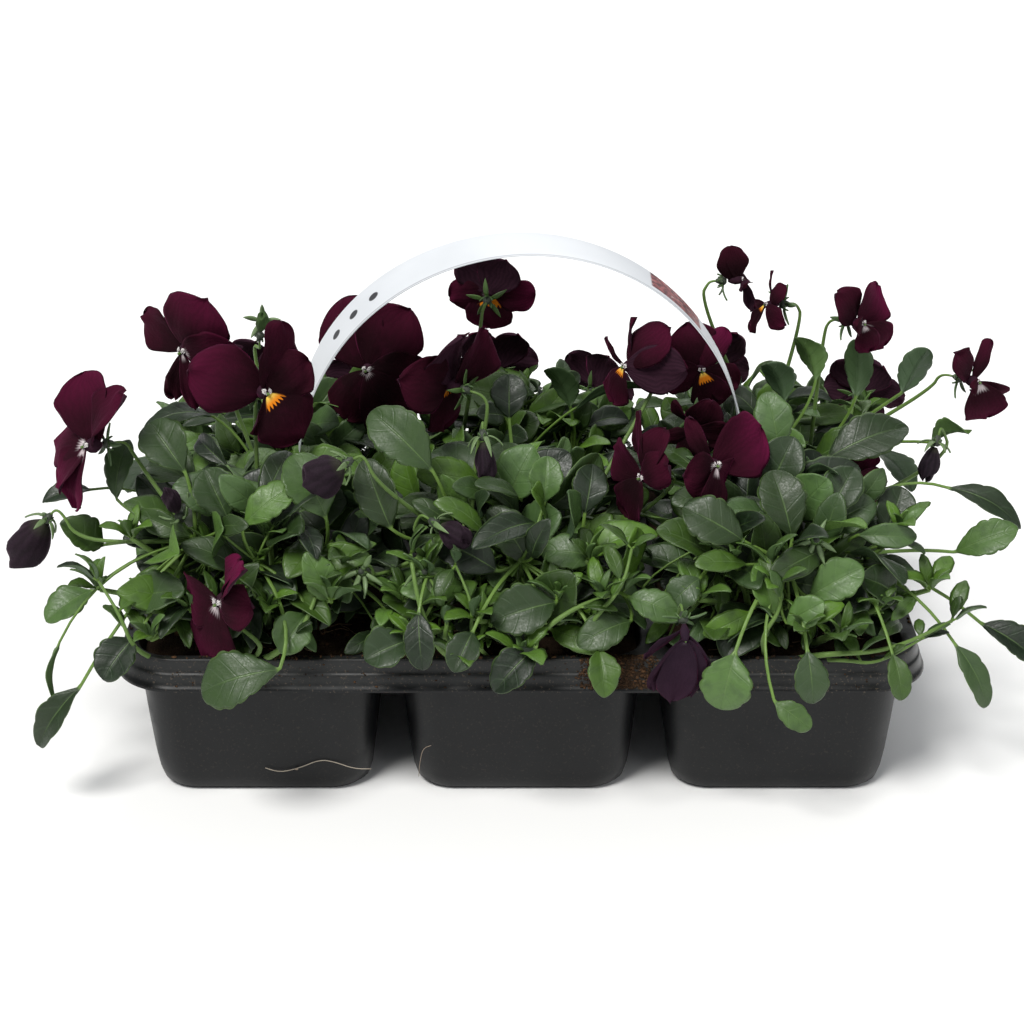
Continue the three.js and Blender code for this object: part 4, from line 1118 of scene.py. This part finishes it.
def make_rim_dirt(soil, fibre):
    """Peat spilt on the front rim, loose crumbs round the rim and pale root hairs."""
    draw = seeded(400)
    lip, top = TRAY.height - TRAY.skirt, TRAY.height
    front, ledge = -TRAY.depth / 2, TRAY.height + 0.25
    slope = np.array([(0.4, lip + 1.6), (1.4, lip + 2.8), (1.6, lip + 5.8), (2.6, lip + 6.5),
                      (3.0, top - 1.0), (3.8, top), (6.0, top)])

    def on_face():
        """A place on the skirt's front face: y and z."""
        step = draw() * (len(slope) - 1)
        inset, z = (np.interp(step, range(len(slope)), column) for column in slope.T)
        return front + inset, z

    shape = Shape()
    for _ in range(RIM_PEAT.crumbs):
        y, z = on_face()
        x = RIM_PEAT.x + RIM_PEAT.half_width * (draw() + draw() - 1)
        add_crumb(shape, x, y, z, 0.25 + 0.45 * draw(), draw)
    for _ in range(LOOSE_PEAT.face):
        y, z = on_face()
        x = (draw() - 0.5) * 2 * LOOSE_PEAT.face_x
        add_crumb(shape, x, y, z, 0.16 + 0.3 * draw() ** 2, draw)
    for _ in range(LOOSE_PEAT.front):
        x, y = (draw() - 0.5) * 2 * LOOSE_PEAT.front_x, front + 3.4 + 2.2 * draw()
        add_crumb(shape, x, y, ledge, 0.25 + 0.5 * draw() ** 2, draw)
    for _ in range(LOOSE_PEAT.sides):
        side = 1 if draw() < 0.5 else -1
        x = side * (TRAY.length / 2 - 3.4 - 2.2 * draw())
        y = (draw() - 0.5) * 2 * LOOSE_PEAT.side_y
        add_crumb(shape, x, y, ledge, 0.25 + 0.5 * draw() ** 2, draw)
    make_piece("rim_peat", shape, [soil], ["soil_front_middle"])

    def wall_y(z):
        slant = CELL.draft * (TRAY.height - z) / TRAY.height
        return -CELL.pitch_y / 2 - CELL.depth / 2 + slant - TRAY.wall - 0.15

    shape = Shape()
    # radius, paleness and points x, z of each hair on the front of the cells
    for radius, pale, hair in (
            (0.15, 0.9, [(-89, 10.5), (-84, 8.6), (-77, 10.5), (-70, 13.9), (-65, 13.1),
                         (-58, 10.1), (-52, 10.1)]),
            (0.1, 0.5, [(-35.6, 7), (-35.2, 12), (-34, 18.6), (-31, 19.8)])):
        path = [vec(x, wall_y(z), z) for x, z in hair]
        shape.tube(cut_corners(path, 2), radius, 5, mood=(pale, 0, 0))
    add_crumb(shape, -78, wall_y(10), 10, 0.6, draw)
    make_piece("root_hairs", shape, [fibre], ["soil_front_left"])


# ---------------------------------------------------------------- leaves
# Inner leaves between the large ones
SMALL = Values(
    tries=2200, front_count=108, back_count=126, gap_other=2.6, gap_own=2.3,
    half_x=50, half_y=49, front_height=52, back_height=46, square=4.5,
    front_length=22.5, back_length=19, front_fringe=70, back_fringe=130, fringe_length=15)
# Shoots with a tuft of young leaflets, plant by plant: x, y, z of the tuft
SHOOTS = [
    [(-85, -84, 72), (-144, -70, 73), (-64, -84, 76), (-125, -86, 62), (-60, -74, 84),
     (-86, -64, 89), (-112, -80, 70), (-134, -60, 88)],
    [(-32, -80, 85), (-36, -92, 65), (13, -84, 76), (-14, -88, 70), (27, -86, 77), (0, -96, 61),
     (-20, -97, 60), (23, -74, 86), (-40, -80, 74)],
    [(85, -86, 81), (122, -78, 70), (60, -84, 76), (140, -70, 73), (107, -92, 66), (72, -76, 87),
     (130, -60, 90), (94, -92, 68)],
    [(-120, 80, 76), (-90, 88, 72), (-70, 76, 84), (-135, 60, 84)],
    [(-20, 86, 76), (14, 90, 70), (34, 80, 80), (0, 70, 92)],
    [(70, 84, 76), (104, 90, 70), (122, 76, 80), (134, 56, 88)],
]
# Thick stems that show low in front, plant by plant: radius, points x, z from the foot upwards
RUNNERS = [
    [(1.25, [(-90, 52), (-82, 60), (-72, 70), (-68, 80)]),
     (0.95, [(-92, 52), (-86, 63), (-94, 69), (-104, 71)]),
     (0.9, [(-124, 52), (-130, 62), (-134, 74), (-142, 82)])],
    [(1.3, [(-18, 52), (-27, 60), (-34, 76), (-37, 92)]),
     (1.0, [(-22, 52), (-26, 64), (-24, 74), (-31, 84)]),
     (0.8, [(-10, 52), (-17, 66), (-16, 78), (-22, 88)]),
     (1.15, [(2, 52), (4, 66), (18, 77), (34, 78)]),
     (0.95, [(20, 54), (23, 72), (34, 84), (37, 94)])],
    [(1.1, [(92, 52), (100, 60), (124, 60), (146, 67)]),
     (0.8, [(98, 52), (108, 58), (120, 55), (136, 60)]),
     (0.9, [(84, 52), (80, 66), (88, 78), (84, 88)])],
    [], [], [],
]
RUNNER_DEPTHS = (-82, -93, -91, -82)
# Rows, columns and stalk rows of a leaf
DETAIL = Values(shown=(36, 13, 9), filler=(26, 11, 8), inner=(14, 9, 5), stipule=(8, 5, 2))


def columns_of(count):
    """Shares across a blade, closer together at the rib and at the edges."""
    even = np.linspace(-1, 1, count)
    return np.sign(even) * np.abs(even) ** 0.85


def blade_rings(middle, side, normal, half_width, lift, half_top, half_under, shares):
    """Rings of a thin blade: the upper face from left to right, the lower face back again."""
    side, normal = (np.broadcast_to(axis, middle.shape)[:, None] for axis in (side, normal))
    across = middle[:, None] + side * (half_width * shares)[..., None]
    top, low = (across + normal * reach[..., None]
                for reach in (lift + half_top, lift - half_under))
    return np.concatenate([top, low[:, -2:0:-1]], axis=1)


def ring_spots(along, shares):
    side = np.concatenate([np.ones(len(shares)), -np.ones(len(shares) - 2)])
    side[[0, len(shares) - 1]] = 0
    spots = np.empty((len(along), len(side), 3))
    spots[..., 0] = along[:, None]
    spots[..., 1] = np.concatenate([shares, shares[-2:0:-1]])
    spots[..., 2] = side
    return spots


def add_leaf(shape, leaf, draw, detail, young=0.0, shade=1.0):
    """One leaf with its stalk in one skin. detail: rows, columns, stalk rows."""
    rows, columns, stalk_rows = detail
    shares = columns_of(columns)
    width = leaf.width
    teeth = max(3, round(leaf.length / 5)) if width > 0.45 * leaf.length else 3
    phase, curl, twist = TURN * draw(), 0.24 * draw() - 0.02, 1.2 * (draw() - 0.5)
    trough = LEAF.cup * (0.6 + 2.2 * draw() ** 2)
    # stalk: from the stem, bending into the line of the blade
    gap = length_of(leaf.base - leaf.root)
    lift = lerp(leaf.root, leaf.base, 0.5) + UP * leaf.arc * gap
    bend = lerp(lift, leaf.base - leaf.along * gap * 0.45, 0.5)
    t = np.linspace(0, 0.985, stalk_rows)[:, None]
    run = 2 * (1 - t) * (bend - leaf.root) + 2 * t * (leaf.base - bend)
    run /= np.linalg.norm(run, axis=1)[:, None] + 1e-9
    side = np.cross(run, leaf.normal * 0.8 - leaf.along * 0.6)
    side /= np.linalg.norm(side, axis=1)[:, None] + 1e-9
    thick = min(1.0, 0.45 + width / 22)
    half = np.linspace(1.0, 0.8, stalk_rows)[:, None] * PLANT.petiole_width / 2 * thick
    arch = np.sqrt(1 - shares ** 2)[None, :] * PLANT.petiole_thickness / 2 * thick
    arch = np.broadcast_to(arch, (stalk_rows, columns))
    stalk = blade_rings(curve_at(leaf.root, bend, leaf.base, t), side, np.cross(side, run),
                        half, 0 * arch, arch * 0.7, arch, shares)
    # blade: its outline with notched edges, then how far its face lies off the flat
    t = np.linspace(0.035, 0.988, rows)
    taper = np.sin(pi * t ** (1.08 + 0.4 * draw())) ** 0.52
    half = taper * (0.6 + 0.4 * np.clip(t / 0.25, 0, 1)) * width / 2
    half = np.maximum(half, PLANT.petiole_width * 0.35 * thick)
    notch = 1 - np.abs(np.sin(pi * teeth * (t - 0.06))) ** 0.42
    notch = (0.15 if leaf.shown else 0.12) * notch * smoothstep(0.12, 0.26, t)
    away = np.abs(shares)[None, :]
    half_width = half[:, None] * (1 - notch[:, None] * away ** 5)
    t = t[:, None]
    rise = LEAF.arch * (4 * t * (1 - t) - t * t) * leaf.length - curl * t ** 3 * leaf.length
    cup = trough * away * (half_width / (width / 2)) * width
    groove = -0.022 * width * np.exp(-(away / 0.12) ** 2)
    veins = np.abs(np.sin(pi * teeth * (t - 0.24 * away - 0.06)))
    veins = 0.012 * width * veins * (1 - away ** 4)
    wave = 0.045 * width * away ** 3 * np.sin(9 * t + phase + 1.7 * np.sign(shares)[None, :])
    lean = twist * 0.12 * width * shares[None, :] * t
    blend = smoothstep(0.0, 0.10, t)
    lift = (rise + cup + groove + veins + wave + lean) * blend
    half_top = (0.16 + 0.22 * (1 - away)) * np.ones_like(t)
    half_top = lerp(np.sqrt(1 - away ** 2) * 0.4, half_top, blend)
    rib = 0.55 * np.exp(-(away / 0.13) ** 2) * (1.05 - t)
    half_under = lerp(np.sqrt(1 - away ** 2) * 0.5, half_top + rib, blend)
    for half in (half_top, half_under):
        half[:, [0, -1]] = 0
    middle = leaf.base + leaf.along * (leaf.length * t)
    blade = blade_rings(middle, leaf.side, leaf.normal, half_width, lift, half_top, half_under,
                        shares)
    tip_lift = (-LEAF.arch - curl) * leaf.length
    tip = leaf.base + leaf.along * leaf.length + leaf.normal * tip_lift
    spots = [ring_spots(np.linspace(-1, -0.05, stalk_rows), shares), ring_spots(t[:, 0], shares)]
    # the tint is scaled down by shade, so that leaves deep in the bush carry painted shade; the
    # bright leaves keep their own lightness
    mood = (max(draw() ** 3.2 * shade, leaf.light), young, teeth / 16)
    shape.loft(np.concatenate([stalk, blade]), np.concatenate(spots), mood, head=tip)


def add_stipule(shape, root, direction, length, width, draw, young):
    """A narrow leaflet straight on the stem."""
    along = unit(direction)
    normal = face_of(along, unit(vec(draw() - 0.5, draw() - 0.5, 1.2)))
    leaf = Values(
        base=root + along * length * 0.12, root=root, length=length * 0.88, width=width,
        along=along, normal=normal, side=np.cross(along, normal), arc=0, shown=False, light=0)
    add_leaf(shape, leaf, draw, DETAIL.stipule, young)


def add_small_leaf(plant, draw, tip, out, rise, long, slim, hint, floor, leaves):
    """Puts one inner leaf down where it is clear of the tray and of what is there already."""
    length = long * (0.75 + 0.5 * draw())
    climb = 0.5 * rise + 0.9 * (draw() - 0.35)
    drift = vec(draw() - 0.5, draw() - 0.5, 0) * 0.9
    along = unit(out * (0.9 - 0.3 * rise) + drift + UP * climb)
    width = length * slim * (0.75 + 0.5 * draw())
    leaf = describe_leaf(plant, tip - along * length, tip, width, 90 * (draw() - 0.5), hint)
    spots = [leaf.base] + [leaf_spot(leaf, t, across) for t, across in (
        (0.5, -0.8), (0.5, 0.8), (0.25, 0), (0.5, 0), (0.75, 0), (1, 0))]
    if not in_tray(spots, floor) and room.free(spots, plant.name, SMALL.gap_other, SMALL.gap_own):
        room.take(plant.name, spots)
        leaves.append(leaf)


def small_leaves(plant):
    """Inner leaves between the large ones, by a seeded draw inside the plant's bush."""
    draw = seeded(900 + plant.index)
    front = plant.centre[1] < 0
    wanted, height, long, fringe = (
        (SMALL.front_count, SMALL.front_height, SMALL.front_length, SMALL.front_fringe) if front
        else (SMALL.back_count, SMALL.back_height, SMALL.back_length, SMALL.back_fringe))
    half = vec(SMALL.half_x, SMALL.half_y, height)
    heart = plant.centre + FILL.heart * UP
    leaves = []
    for leaf in plant.leaves:
        room.take(plant.name, [leaf_spot(leaf, t, across * float(leaf_width(t)))
                               for t in (0.12, 0.3, 0.5, 0.7, 0.88) for across in (-0.6, 0, 0.6)])
    for k in range(SMALL.tries):
        if len(leaves) >= wanted:
            break
        out = level(k * GOLDEN_ANGLE + 0.6 * draw())
        rise = 1.05 * draw() ** (0.8 if front else 1) - 0.05
        ray = out * sqrt(1 - rise * rise) + UP * rise
        edge = np.sum(np.abs(ray / half) ** SMALL.square) ** (-1 / SMALL.square)
        tip = heart + ray * edge * (0.5 + 0.48 * sqrt(draw()))
        hint = UP * 0.8 + out * 0.55 + vec(0, -0.25, 0)
        slim = 0.40 + 0.26 * draw()
        add_small_leaf(plant, draw, tip, out, rise, long, slim, hint, TRAY.height + 1.2, leaves)
    # a low fringe along the outer rim, so that hardly any soil shows
    away = vec(0, copysign(1, plant.centre[1]), 0)
    for _ in range(fringe):
        x = plant.centre[0] + 94 * (draw() - 0.5)
        y = plant.centre[1] + away[1] * (20 + 26 * draw())
        tip = vec(x, y, TRAY.height + 3 + 14 * draw() ** 1.5)
        out = unit(away + vec(1.6 * (draw() - 0.5), 0, 0))
        slim = 0.30 + 0.24 * draw()
        add_small_leaf(plant, draw, tip, out, -0.2, SMALL.fringe_length, slim, UP + away * 0.7,
                       TRAY.height + 0.8, leaves)
    return leaves


def make_shoots(plant, leaf_paint, stem_paint):
    """Side shoots and thick stems that end in a tuft of narrow young leaflets."""
    draw = seeded(1200 + plant.index)
    greens, stalks = Shape(), Shape()
    for x, y, z in SHOOTS[plant.index]:
        head = vec(x, y, z)
        root = vec(*lerp(plant.centre[:2], head[:2], 0.25 + 0.3 * draw()), SOIL.top - 1)
        lean = unit(head - root)
        middle = lerp(root, head, 0.5) + vec(draw() - 0.5, draw() - 0.5, 0.8) * 5
        path = cut_corners([root, middle, head])
        stalks.tube(path, np.linspace(1.5, 0.9, len(path)), 8, mood=(0.1 * draw(), 0.7, 0))
        for share in (0.45, 0.45, 0.45, 0.7, 0.7, 0.7):
            spread = unit(vec(draw() - 0.5, draw() - 0.5, 0.5 * draw() - 0.1))
            add_stipule(greens, part_way(path, share), lean * 0.6 + spread, 6 + 5 * draw(),
                        1.6 + 1.2 * draw(), draw, 0.5 + 0.5 * draw())
        turn = TURN * draw()
        for k in range(6):
            turn += GOLDEN_ANGLE
            length = 6 + 1.3 * k + 5 * draw()
            direction = UP * (1.0 - 0.1 * k) + level(turn) * (0.25 + 0.14 * k) + lean * 0.3
            add_stipule(greens, head, direction, length, length * (0.28 + 0.045 * k), draw,
                        0.25 + 0.65 * draw())
    for radius, line in RUNNERS[plant.index]:
        path = cut_corners([vec(x, y, z) for (x, z), y in zip(line, RUNNER_DEPTHS)])
        stalks.tube(path, np.linspace(radius, 0.55 * radius, len(path)), 8, mood=(0.1, 0.2, 0))
        lean = unit(path[-1] - path[-8])
        for share in (0.55, 0.8, 1.0, 1.0, 1.0):
            spread = unit(vec(draw() - 0.5, draw() - 0.6, draw() - 0.3))
            length = 8 + 7 * draw()
            add_stipule(greens, part_way(path, share), lean * 0.9 + spread, length,
                        length * (0.3 + 0.2 * draw()), draw, 0.6 * draw())
    make_foliage("shoot_leaves", plant, greens, leaf_paint)
    make_foliage("shoot_stalks", plant, stalks, stem_paint)


def make_leaves(plant, leaf_paint):
    draw = seeded(300 + plant.index)
    shape = Shape()
    for leaf in plant.leaves:
        young = 0.55 * draw() ** 3 * (1.0 if leaf.width < 14 else 0.3)
        detail = DETAIL.shown if leaf.shown else DETAIL.filler
        add_leaf(shape, leaf, draw, detail, max(young, 0.3 * leaf.light))
    make_foliage("leaves", plant, shape, leaf_paint)
    shape = Shape()
    for leaf in small_leaves(plant):
        # painted shade: leaves deep inside the bush get a darker tint, and fewer of them are young
        # and bright, standing in for the shade of the leaves round them
        inward = length_of((leaf.tip - plant.centre - UP * FILL.heart) / vec(50, 50, 52))
        light = smoothstep(0.45, 1.1, inward)
        young = (0.1 + 0.9 * light) * draw() ** 2.6
        add_leaf(shape, leaf, draw, DETAIL.inner, young, shade=0.25 + 0.75 * light)
    for line in plant.lines:
        path = cut_corners(line)
        run = unit(path[-1] - path[0])
        for share, count, follow in ((0.35, 4, 0.3), (0.62, 4, 0.3), (0.98, 5, 1.2)):
            for _ in range(count):
                spread = unit(vec(draw() - 0.5, draw() - 0.5, 0.7 * draw() - 0.1))
                length = 8 + 6 * draw()
                add_stipule(shape, part_way(path, share), run * follow + spread, length,
                            length * (0.26 + 0.14 * draw()), draw, 0.55 + 0.45 * draw())
    make_foliage("small_leaves", plant, shape, leaf_paint)


# ---------------------------------------------------------------- stems and calyces
# Thickness of the joint behind each kind of calyx, length of its sepals against the layout's,
# and the least bend of a sepal and how far it may vary
CALYX_KINDS = {"bloom": (1.0, 1.35, 0.25, -0.5), "bud": (1.05, 1.6, 1.0, -0.7),
               "open": (0.9, 1.7, 0.3, -0.4), "spent": (0.62, 1.4, -0.18, 0.9)}


def add_sepal(shape, foot, direction, outward, length, width, draw, bend, pale=False):
    """A slim pointed sepal that leans out from the stalk's end."""
    shares = columns_of(5)
    t = np.linspace(0.0, 0.97, 8)[:, None]
    side = np.cross(direction, outward)
    reach = outward * length * (0.25 + 0.75 * t) * 0.9
    start = foot - direction * 1.6
    middle = start + reach + direction * bend * length * t ** 2
    normal = unit(np.cross(side, unit(outward + direction * bend)))
    half = width / 2 * np.sin(pi * (0.22 + 0.76 * t)) ** 0.8
    away = np.abs(shares)[None, :]
    lift = 0.12 * width * away * np.ones_like(t)
    thin = np.sqrt(1 - away ** 2) * 0.32 * np.ones_like(t)
    rings = blade_rings(middle, side, normal, half, lift, thin, thin, shares)
    tip = start + outward * length * 0.93 + direction * bend * length
    mood = (draw(), 0.25, 0 if pale else 0.15)
    shape.loft(rings, ring_spots(0.2 + 0.8 * t[:, 0], shares), mood, head=tip)


def make_stems(plant, leaf_paint, stem_paint):
    draw = seeded(500 + plant.index)
    shape = Shape()
    heights = np.linspace(PLANT.crown_floor, PLANT.crown_top, 7)
    shape.tube([plant.centre + UP * z for z in heights], np.linspace(PLANT.crown_radius, 2.9, 7),
               10, mood=(0.5, 0, 0))
    for line in plant.lines:
        path = cut_corners(line)
        shape.tube(path, np.linspace(PLANT.branch_radius * 1.1, 1.1, len(path)), 8,
                   mood=(0.35 * draw(), 0.3 * draw(), 0))
    for holder in plant.holders:
        path = cut_corners(holder.points)
        share = np.linspace(0, 1, len(path))
        sway = np.sin(pi * share)[:, None] * vec(draw() - 0.5, draw() - 0.5, 0) * 3.0
        radii = lerp(1.0, 0.5, share ** 0.7) * PLANT.stalk_radius
        shape.tube(path + sway, radii, 8, mood=(0.3 * draw(), 0.1 + 0.5 * draw(), 0))
        knob = [holder.foot - holder.direction * d for d in (4.2, 3.2, 2.0, 0.9, 0.2)]
        radii = np.array([0.7, 1.2, 1.7, 1.7, 1.0]) * CALYX_KINDS[holder.kind][0]
        shape.tube(knob, radii, 10, mood=(1.8, 0, 0))
    make_foliage("stems", plant, shape, stem_paint)
    shape = Shape()
    for holder in plant.holders:
        foot, axis = holder.foot, holder.direction
        if holder.kind == "open":
            foot, axis = foot + 4 * axis, facing(0, 0)
        up, right = bloom_axes(axis)
        _, long, least, spread = CALYX_KINDS[holder.kind]
        for k in range(5):
            outward = turned(up, right, TURN * (k + 0.15 * draw()) / 5)
            if holder.kind == "spent":
                outward = unit(outward - UP * 0.8)
            bend = least + spread * draw()
            add_sepal(shape, foot, axis, outward, holder.sepal * long, 2.0, draw, bend,
                      pale=holder.kind != "bloom")
            add_sepal(shape, holder.foot - holder.direction * 3.0, -holder.direction, outward,
                      holder.sepal * 0.45, 1.8, draw, 0.8)
        # two tiny scales on the stalk, as pansies have
        path = cut_corners(holder.points)
        place = path[int(len(path) * 0.72)]
        run = unit(path[-6] - place)
        for sign in (-1, 1):
            aside = sign * unit(np.cross(run, UP) + 1e-6) * 0.5
            add_stipule(shape, place, run * 0.8 + aside, 3.4, 0.9, draw, 0.4)
    make_foliage("calyces", plant, shape, leaf_paint)


# ---------------------------------------------------------------- blooms
THROAT_HAIRS = 26  # on each side


def petal_rows(number, draw):
    """The five petals of a bloom: turn, length, width, lean, roll and colour of each."""
    return FOLDS.get(number) or [
        (turn + 16 * (draw() - 0.5), long * (0.92 + 0.2 * draw()), wide * (0.8 + 0.3 * draw()),
         lean - 0.1 + 0.2 * draw(), 30 * (draw() - 0.5), 0.2 + 0.5 * draw())
        for turn, long, wide, _, lean in PETALS]


def add_petal(shape, centre, normal, size, index, petal, draw, eye, faded):
    """One petal: a cupped and waved blade that starts at the throat."""
    turn, long, wide, lean, roll, colour = petal
    layer = PETALS[index][3]
    along, side = petal_axes(normal, turn)
    tilt = radians(roll)
    shares = columns_of(17)
    t = 1 - (1 - np.linspace(0.03, 0.985, 22)) ** 1.25
    phase = TURN * draw()
    broad = smoothstep(0.75, 1.15, wide)
    half = np.maximum(np.sin(pi * t ** (1.5 - 0.26 * broad)) ** (0.44 + 0.1 * broad), 0.10)
    edge_wave = 1 + 0.05 * np.sin(13 * t + phase) * smoothstep(0.3, 0.7, t)
    dent = 1 - 0.05 * np.exp(-((t - 0.55 - 0.3 * draw()) / 0.06) ** 2)
    half = (half * edge_wave * dent)[:, None]
    t, away, across = t[:, None], np.abs(shares)[None, :], shares[None, :]
    cup = (0.04 + 0.1 * draw()) * (1 if draw() < 0.6 else -1)
    rise = 0.1 * np.sin(pi * t) + cup * (half * across) ** 2 * wide
    border = np.maximum(away ** 3, smoothstep(0.7, 1.0, t) * 0.9) * smoothstep(0.25, 0.6, t)
    ruffle = 0.06 if faded else 0.03 + 0.04 * draw()
    frill = ruffle * size * border * np.sin(7.5 * t + 4.2 * across + phase)
    folds = 0.006 * size * np.sin(9 * across + phase) * np.sin(pi * t)
    groove = -0.012 * size * np.exp(-(away / 0.16) ** 2) * (1 - t)
    lift = rise * size + frill + folds + groove
    thin = (0.14 + 0.22 * (1 - away)) * np.ones_like(t)
    thin[:, [0, -1]] = 0
    middle = centre + normal * (layer + lean * size * t ** 1.5) + along * (size * long * t)
    rings = blade_rings(middle, turned(side, normal, tilt), turned(normal, -side, tilt),
                        half * size * wide * 0.5, lift, thin, thin, shares)
    tip = centre + normal * (layer + lean * size) + along * (size * long)
    shape.loft(rings, ring_spots(t[:, 0], shares), (colour, eye, faded), head=tip)


def make_bloom(number, row, petal_paint, hair_paint, stem_paint):
    _, x, y, z, turn, rise, size = row
    draw = seeded(600 + number)
    centre, normal = vec(x, y, z), facing(turn, rise)
    up, right = bloom_axes(normal)
    shape = Shape()
    faded, white = FADED.get(number, 0.0), PALE_THROATS.get(number, 0.0)
    for index, petal in enumerate(petal_rows(number, draw)):
        # the upper two petals have neither eye nor smear
        eye = -(white or PALE_SIDES.get(number, 0.0)) if index > 1 else 0.0
        if index == 4 and not white:
            eye = WIDE_EYES.get(number, 1.0)
        add_petal(shape, centre, normal, size, index, petal, draw, eye, faded)
    # the spur behind the face, and the ring of petal claws
    scale = min(1.0, size / 20)
    spur = [centre - normal * d for d in (BLOOM.core_back, 3.4, 2.0, 0.4, -0.9, -1.6)]
    shape.tube(spur, np.array([1.0, 2.0, 2.7, 2.5, 1.6, 0.7]) * scale, 12,
               spots=(0.12, 0, -1), mood=(0.4, 0, faded))
    throat = centre + normal * 2.2 * scale
    knob = [throat + normal * d * scale for d in (-0.6, 0.1, 0.7, 1.0)]
    shape.tube(knob, np.array([0.4, 0.55, 0.5, 0.25]) * scale, 8, mood=(0.6, 0.6, 0), paint=2)
    # two white tufts of hair at the foot of the side petals
    for sign in (-1, 1):
        for _ in range(0 if faded else THROAT_HAIRS):
            root = throat + right * sign * (0.6 + 1.2 * draw()) * scale
            root = root + up * (0.2 + 1.5 * draw()) * scale - normal * 1.0 * scale
            lean = normal * 1.0 - right * sign * (0.2 + 0.5 * draw()) + up * (0.5 * draw() - 0.45)
            lean, reach = unit(lean), (0.6 + 0.7 * draw()) * scale
            path = [root, root + lean * reach * 0.5, root + lean * reach - up * 0.25 * reach]
            shape.tube(path, np.array([0.16, 0.12, 0.05]) * scale, 4, paint=1)
    make_piece(f"petals_{number:02d}", shape, [petal_paint, hair_paint, stem_paint],
               [f"bloom_{number:02d}"])


def make_bud(number, row, bud_paint):
    _, x, y, z, dx, dy, dz, length, radius = row
    draw = seeded(700 + number)
    centre, direction = vec(x, y, z), unit(vec(dx, dy, dz))
    up, right = bloom_axes(direction)
    profile = cut_corners([(0.28, 0), (0.72, 0.15), (1.06, 0.42), (1.0, 0.76), (0.72, 0.96),
                           (0.2, 1)])
    t = np.linspace(0, 1, 26)
    radii = np.interp(t, profile[:, 1], profile[:, 0]) * radius * 0.97 * BUD_FULLNESS.get(number, 1)
    angles = np.arange(48) * TURN / 48
    rings, spots = [], []
    phase = TURN * draw()
    for share, reach in zip(t, radii):
        # three petals wrapped round each other, with a lobed end
        wrap = (3 * angles / TURN + 0.9 * share + phase) % 1
        fold = 1 + (0.12 + 0.42 * share) * (np.minimum(wrap, 3 * (1 - wrap)) - 0.45)
        offset = (np.cos(angles) * fold)[:, None] * up + (np.sin(angles) * fold)[:, None] * right
        lobe = 0.12 * length * share ** 4 * (np.sin(TURN * wrap) - 1)
        rings.append(centre + direction * (share - 0.5) * length + reach * offset
                     + lobe[:, None] * direction)
        spots.append([(share, angle / TURN, 1) for angle in angles])
    shape = Shape()
    shape.loft(rings, spots, (draw(), number == GREEN_BUD, 0))
    make_piece(f"closed_bud_{number:02d}", shape, [bud_paint], [f"bud_{number:02d}"])


# ---------------------------------------------------------------- stage, light and camera
# Metres and degrees. The lens and the place are fitted to the photo, which is 1024 pixels wide.
CAMERA = Values(place=(-0.003, -0.76058, 0.40379), tilt=66.4, focal_pixels=2233,
                photo_pixels=1024, sensor=36)
SUN = Values(strength=3.25, spread=24, colour=(1.0, 0.99, 0.96), direction=(0.38, 0.52, -1.0))
SKY = Values(strength=0.30, colour=(0.93, 0.96, 1.0, 1))
# name, place, width, watts
FILL_LIGHTS = [("fill", (0.9, -0.9, 0.7), 0.9, 2.5), ("back", (0.2, 1.0, 1.1), 1.0, 6)]
LIGHT_TARGET = (0, 0, 0.08)
FLOOR_REACH = 12.0


def aim(light, direction):
    light.rotation_euler = direction.to_track_quat("-Z", "Y").to_euler()


def make_stage():
    mesh = bpy.data.meshes.new("floor")
    corners = [(sx * FLOOR_REACH, sy * FLOOR_REACH, 0) for sx, sy in SQUARE]
    mesh.from_pydata(corners, [], [(0, 1, 2, 3)])
    mesh.materials.append(paint_floor())
    floor = new_object("floor", mesh)
    world = bpy.data.worlds.new("studio")
    world.use_nodes = True
    background = world.node_tree.nodes["Background"].inputs
    background["Color"].default_value = SKY.colour
    background["Strength"].default_value = SKY.strength
    bpy.context.scene.world = world
    sun = bpy.data.lights.new("sun", "SUN")
    sun.energy, sun.angle, sun.color = SUN.strength, radians(SUN.spread), SUN.colour
    aim(new_object("sun", sun), Vector(SUN.direction))
    for name, place, size, watts in FILL_LIGHTS:
        data = bpy.data.lights.new(name, "AREA")
        data.shape, data.size, data.energy = "SQUARE", size, watts
        light = new_object(name, data)
        light.location = place
        aim(light, Vector(LIGHT_TARGET) - Vector(place))
    bpy.context.scene.view_settings.view_transform = "Standard"


def make_camera():
    data = bpy.data.cameras.new("camera")
    data.sensor_width = CAMERA.sensor
    data.lens = CAMERA.sensor * CAMERA.focal_pixels / CAMERA.photo_pixels
    camera = new_object("camera", data)
    camera.location = CAMERA.place
    camera.rotation_euler = (radians(CAMERA.tilt), 0, 0)
    bpy.context.scene.camera = camera


# ---------------------------------------------------------------- the whole scene
def main():
    make_camera()
    leaf, stem, soil, fibre = paint_leaf(), paint_stem(), paint_soil(), paint_fibre()
    petal, hair, bud = paint_petal(), paint_hair(), paint_bud()
    make_tray(paint_tray())
    make_strip(paint_strip())
    plants = lay_out()
    for plant in plants:
        make_soil(plant, soil, fibre)
        make_stems(plant, leaf, stem)
    make_rim_dirt(soil, fibre)
    for number, row in enumerate(BLOOMS, 1):
        make_bloom(number, row, petal, hair, stem)
    for number, row in enumerate(BUDS, 1):
        make_bud(number, row, bud)
    for plant in plants:
        make_leaves(plant, leaf)
        make_shoots(plant, leaf, stem)
    make_stage()


main()
bpy.context.view_layer.update()
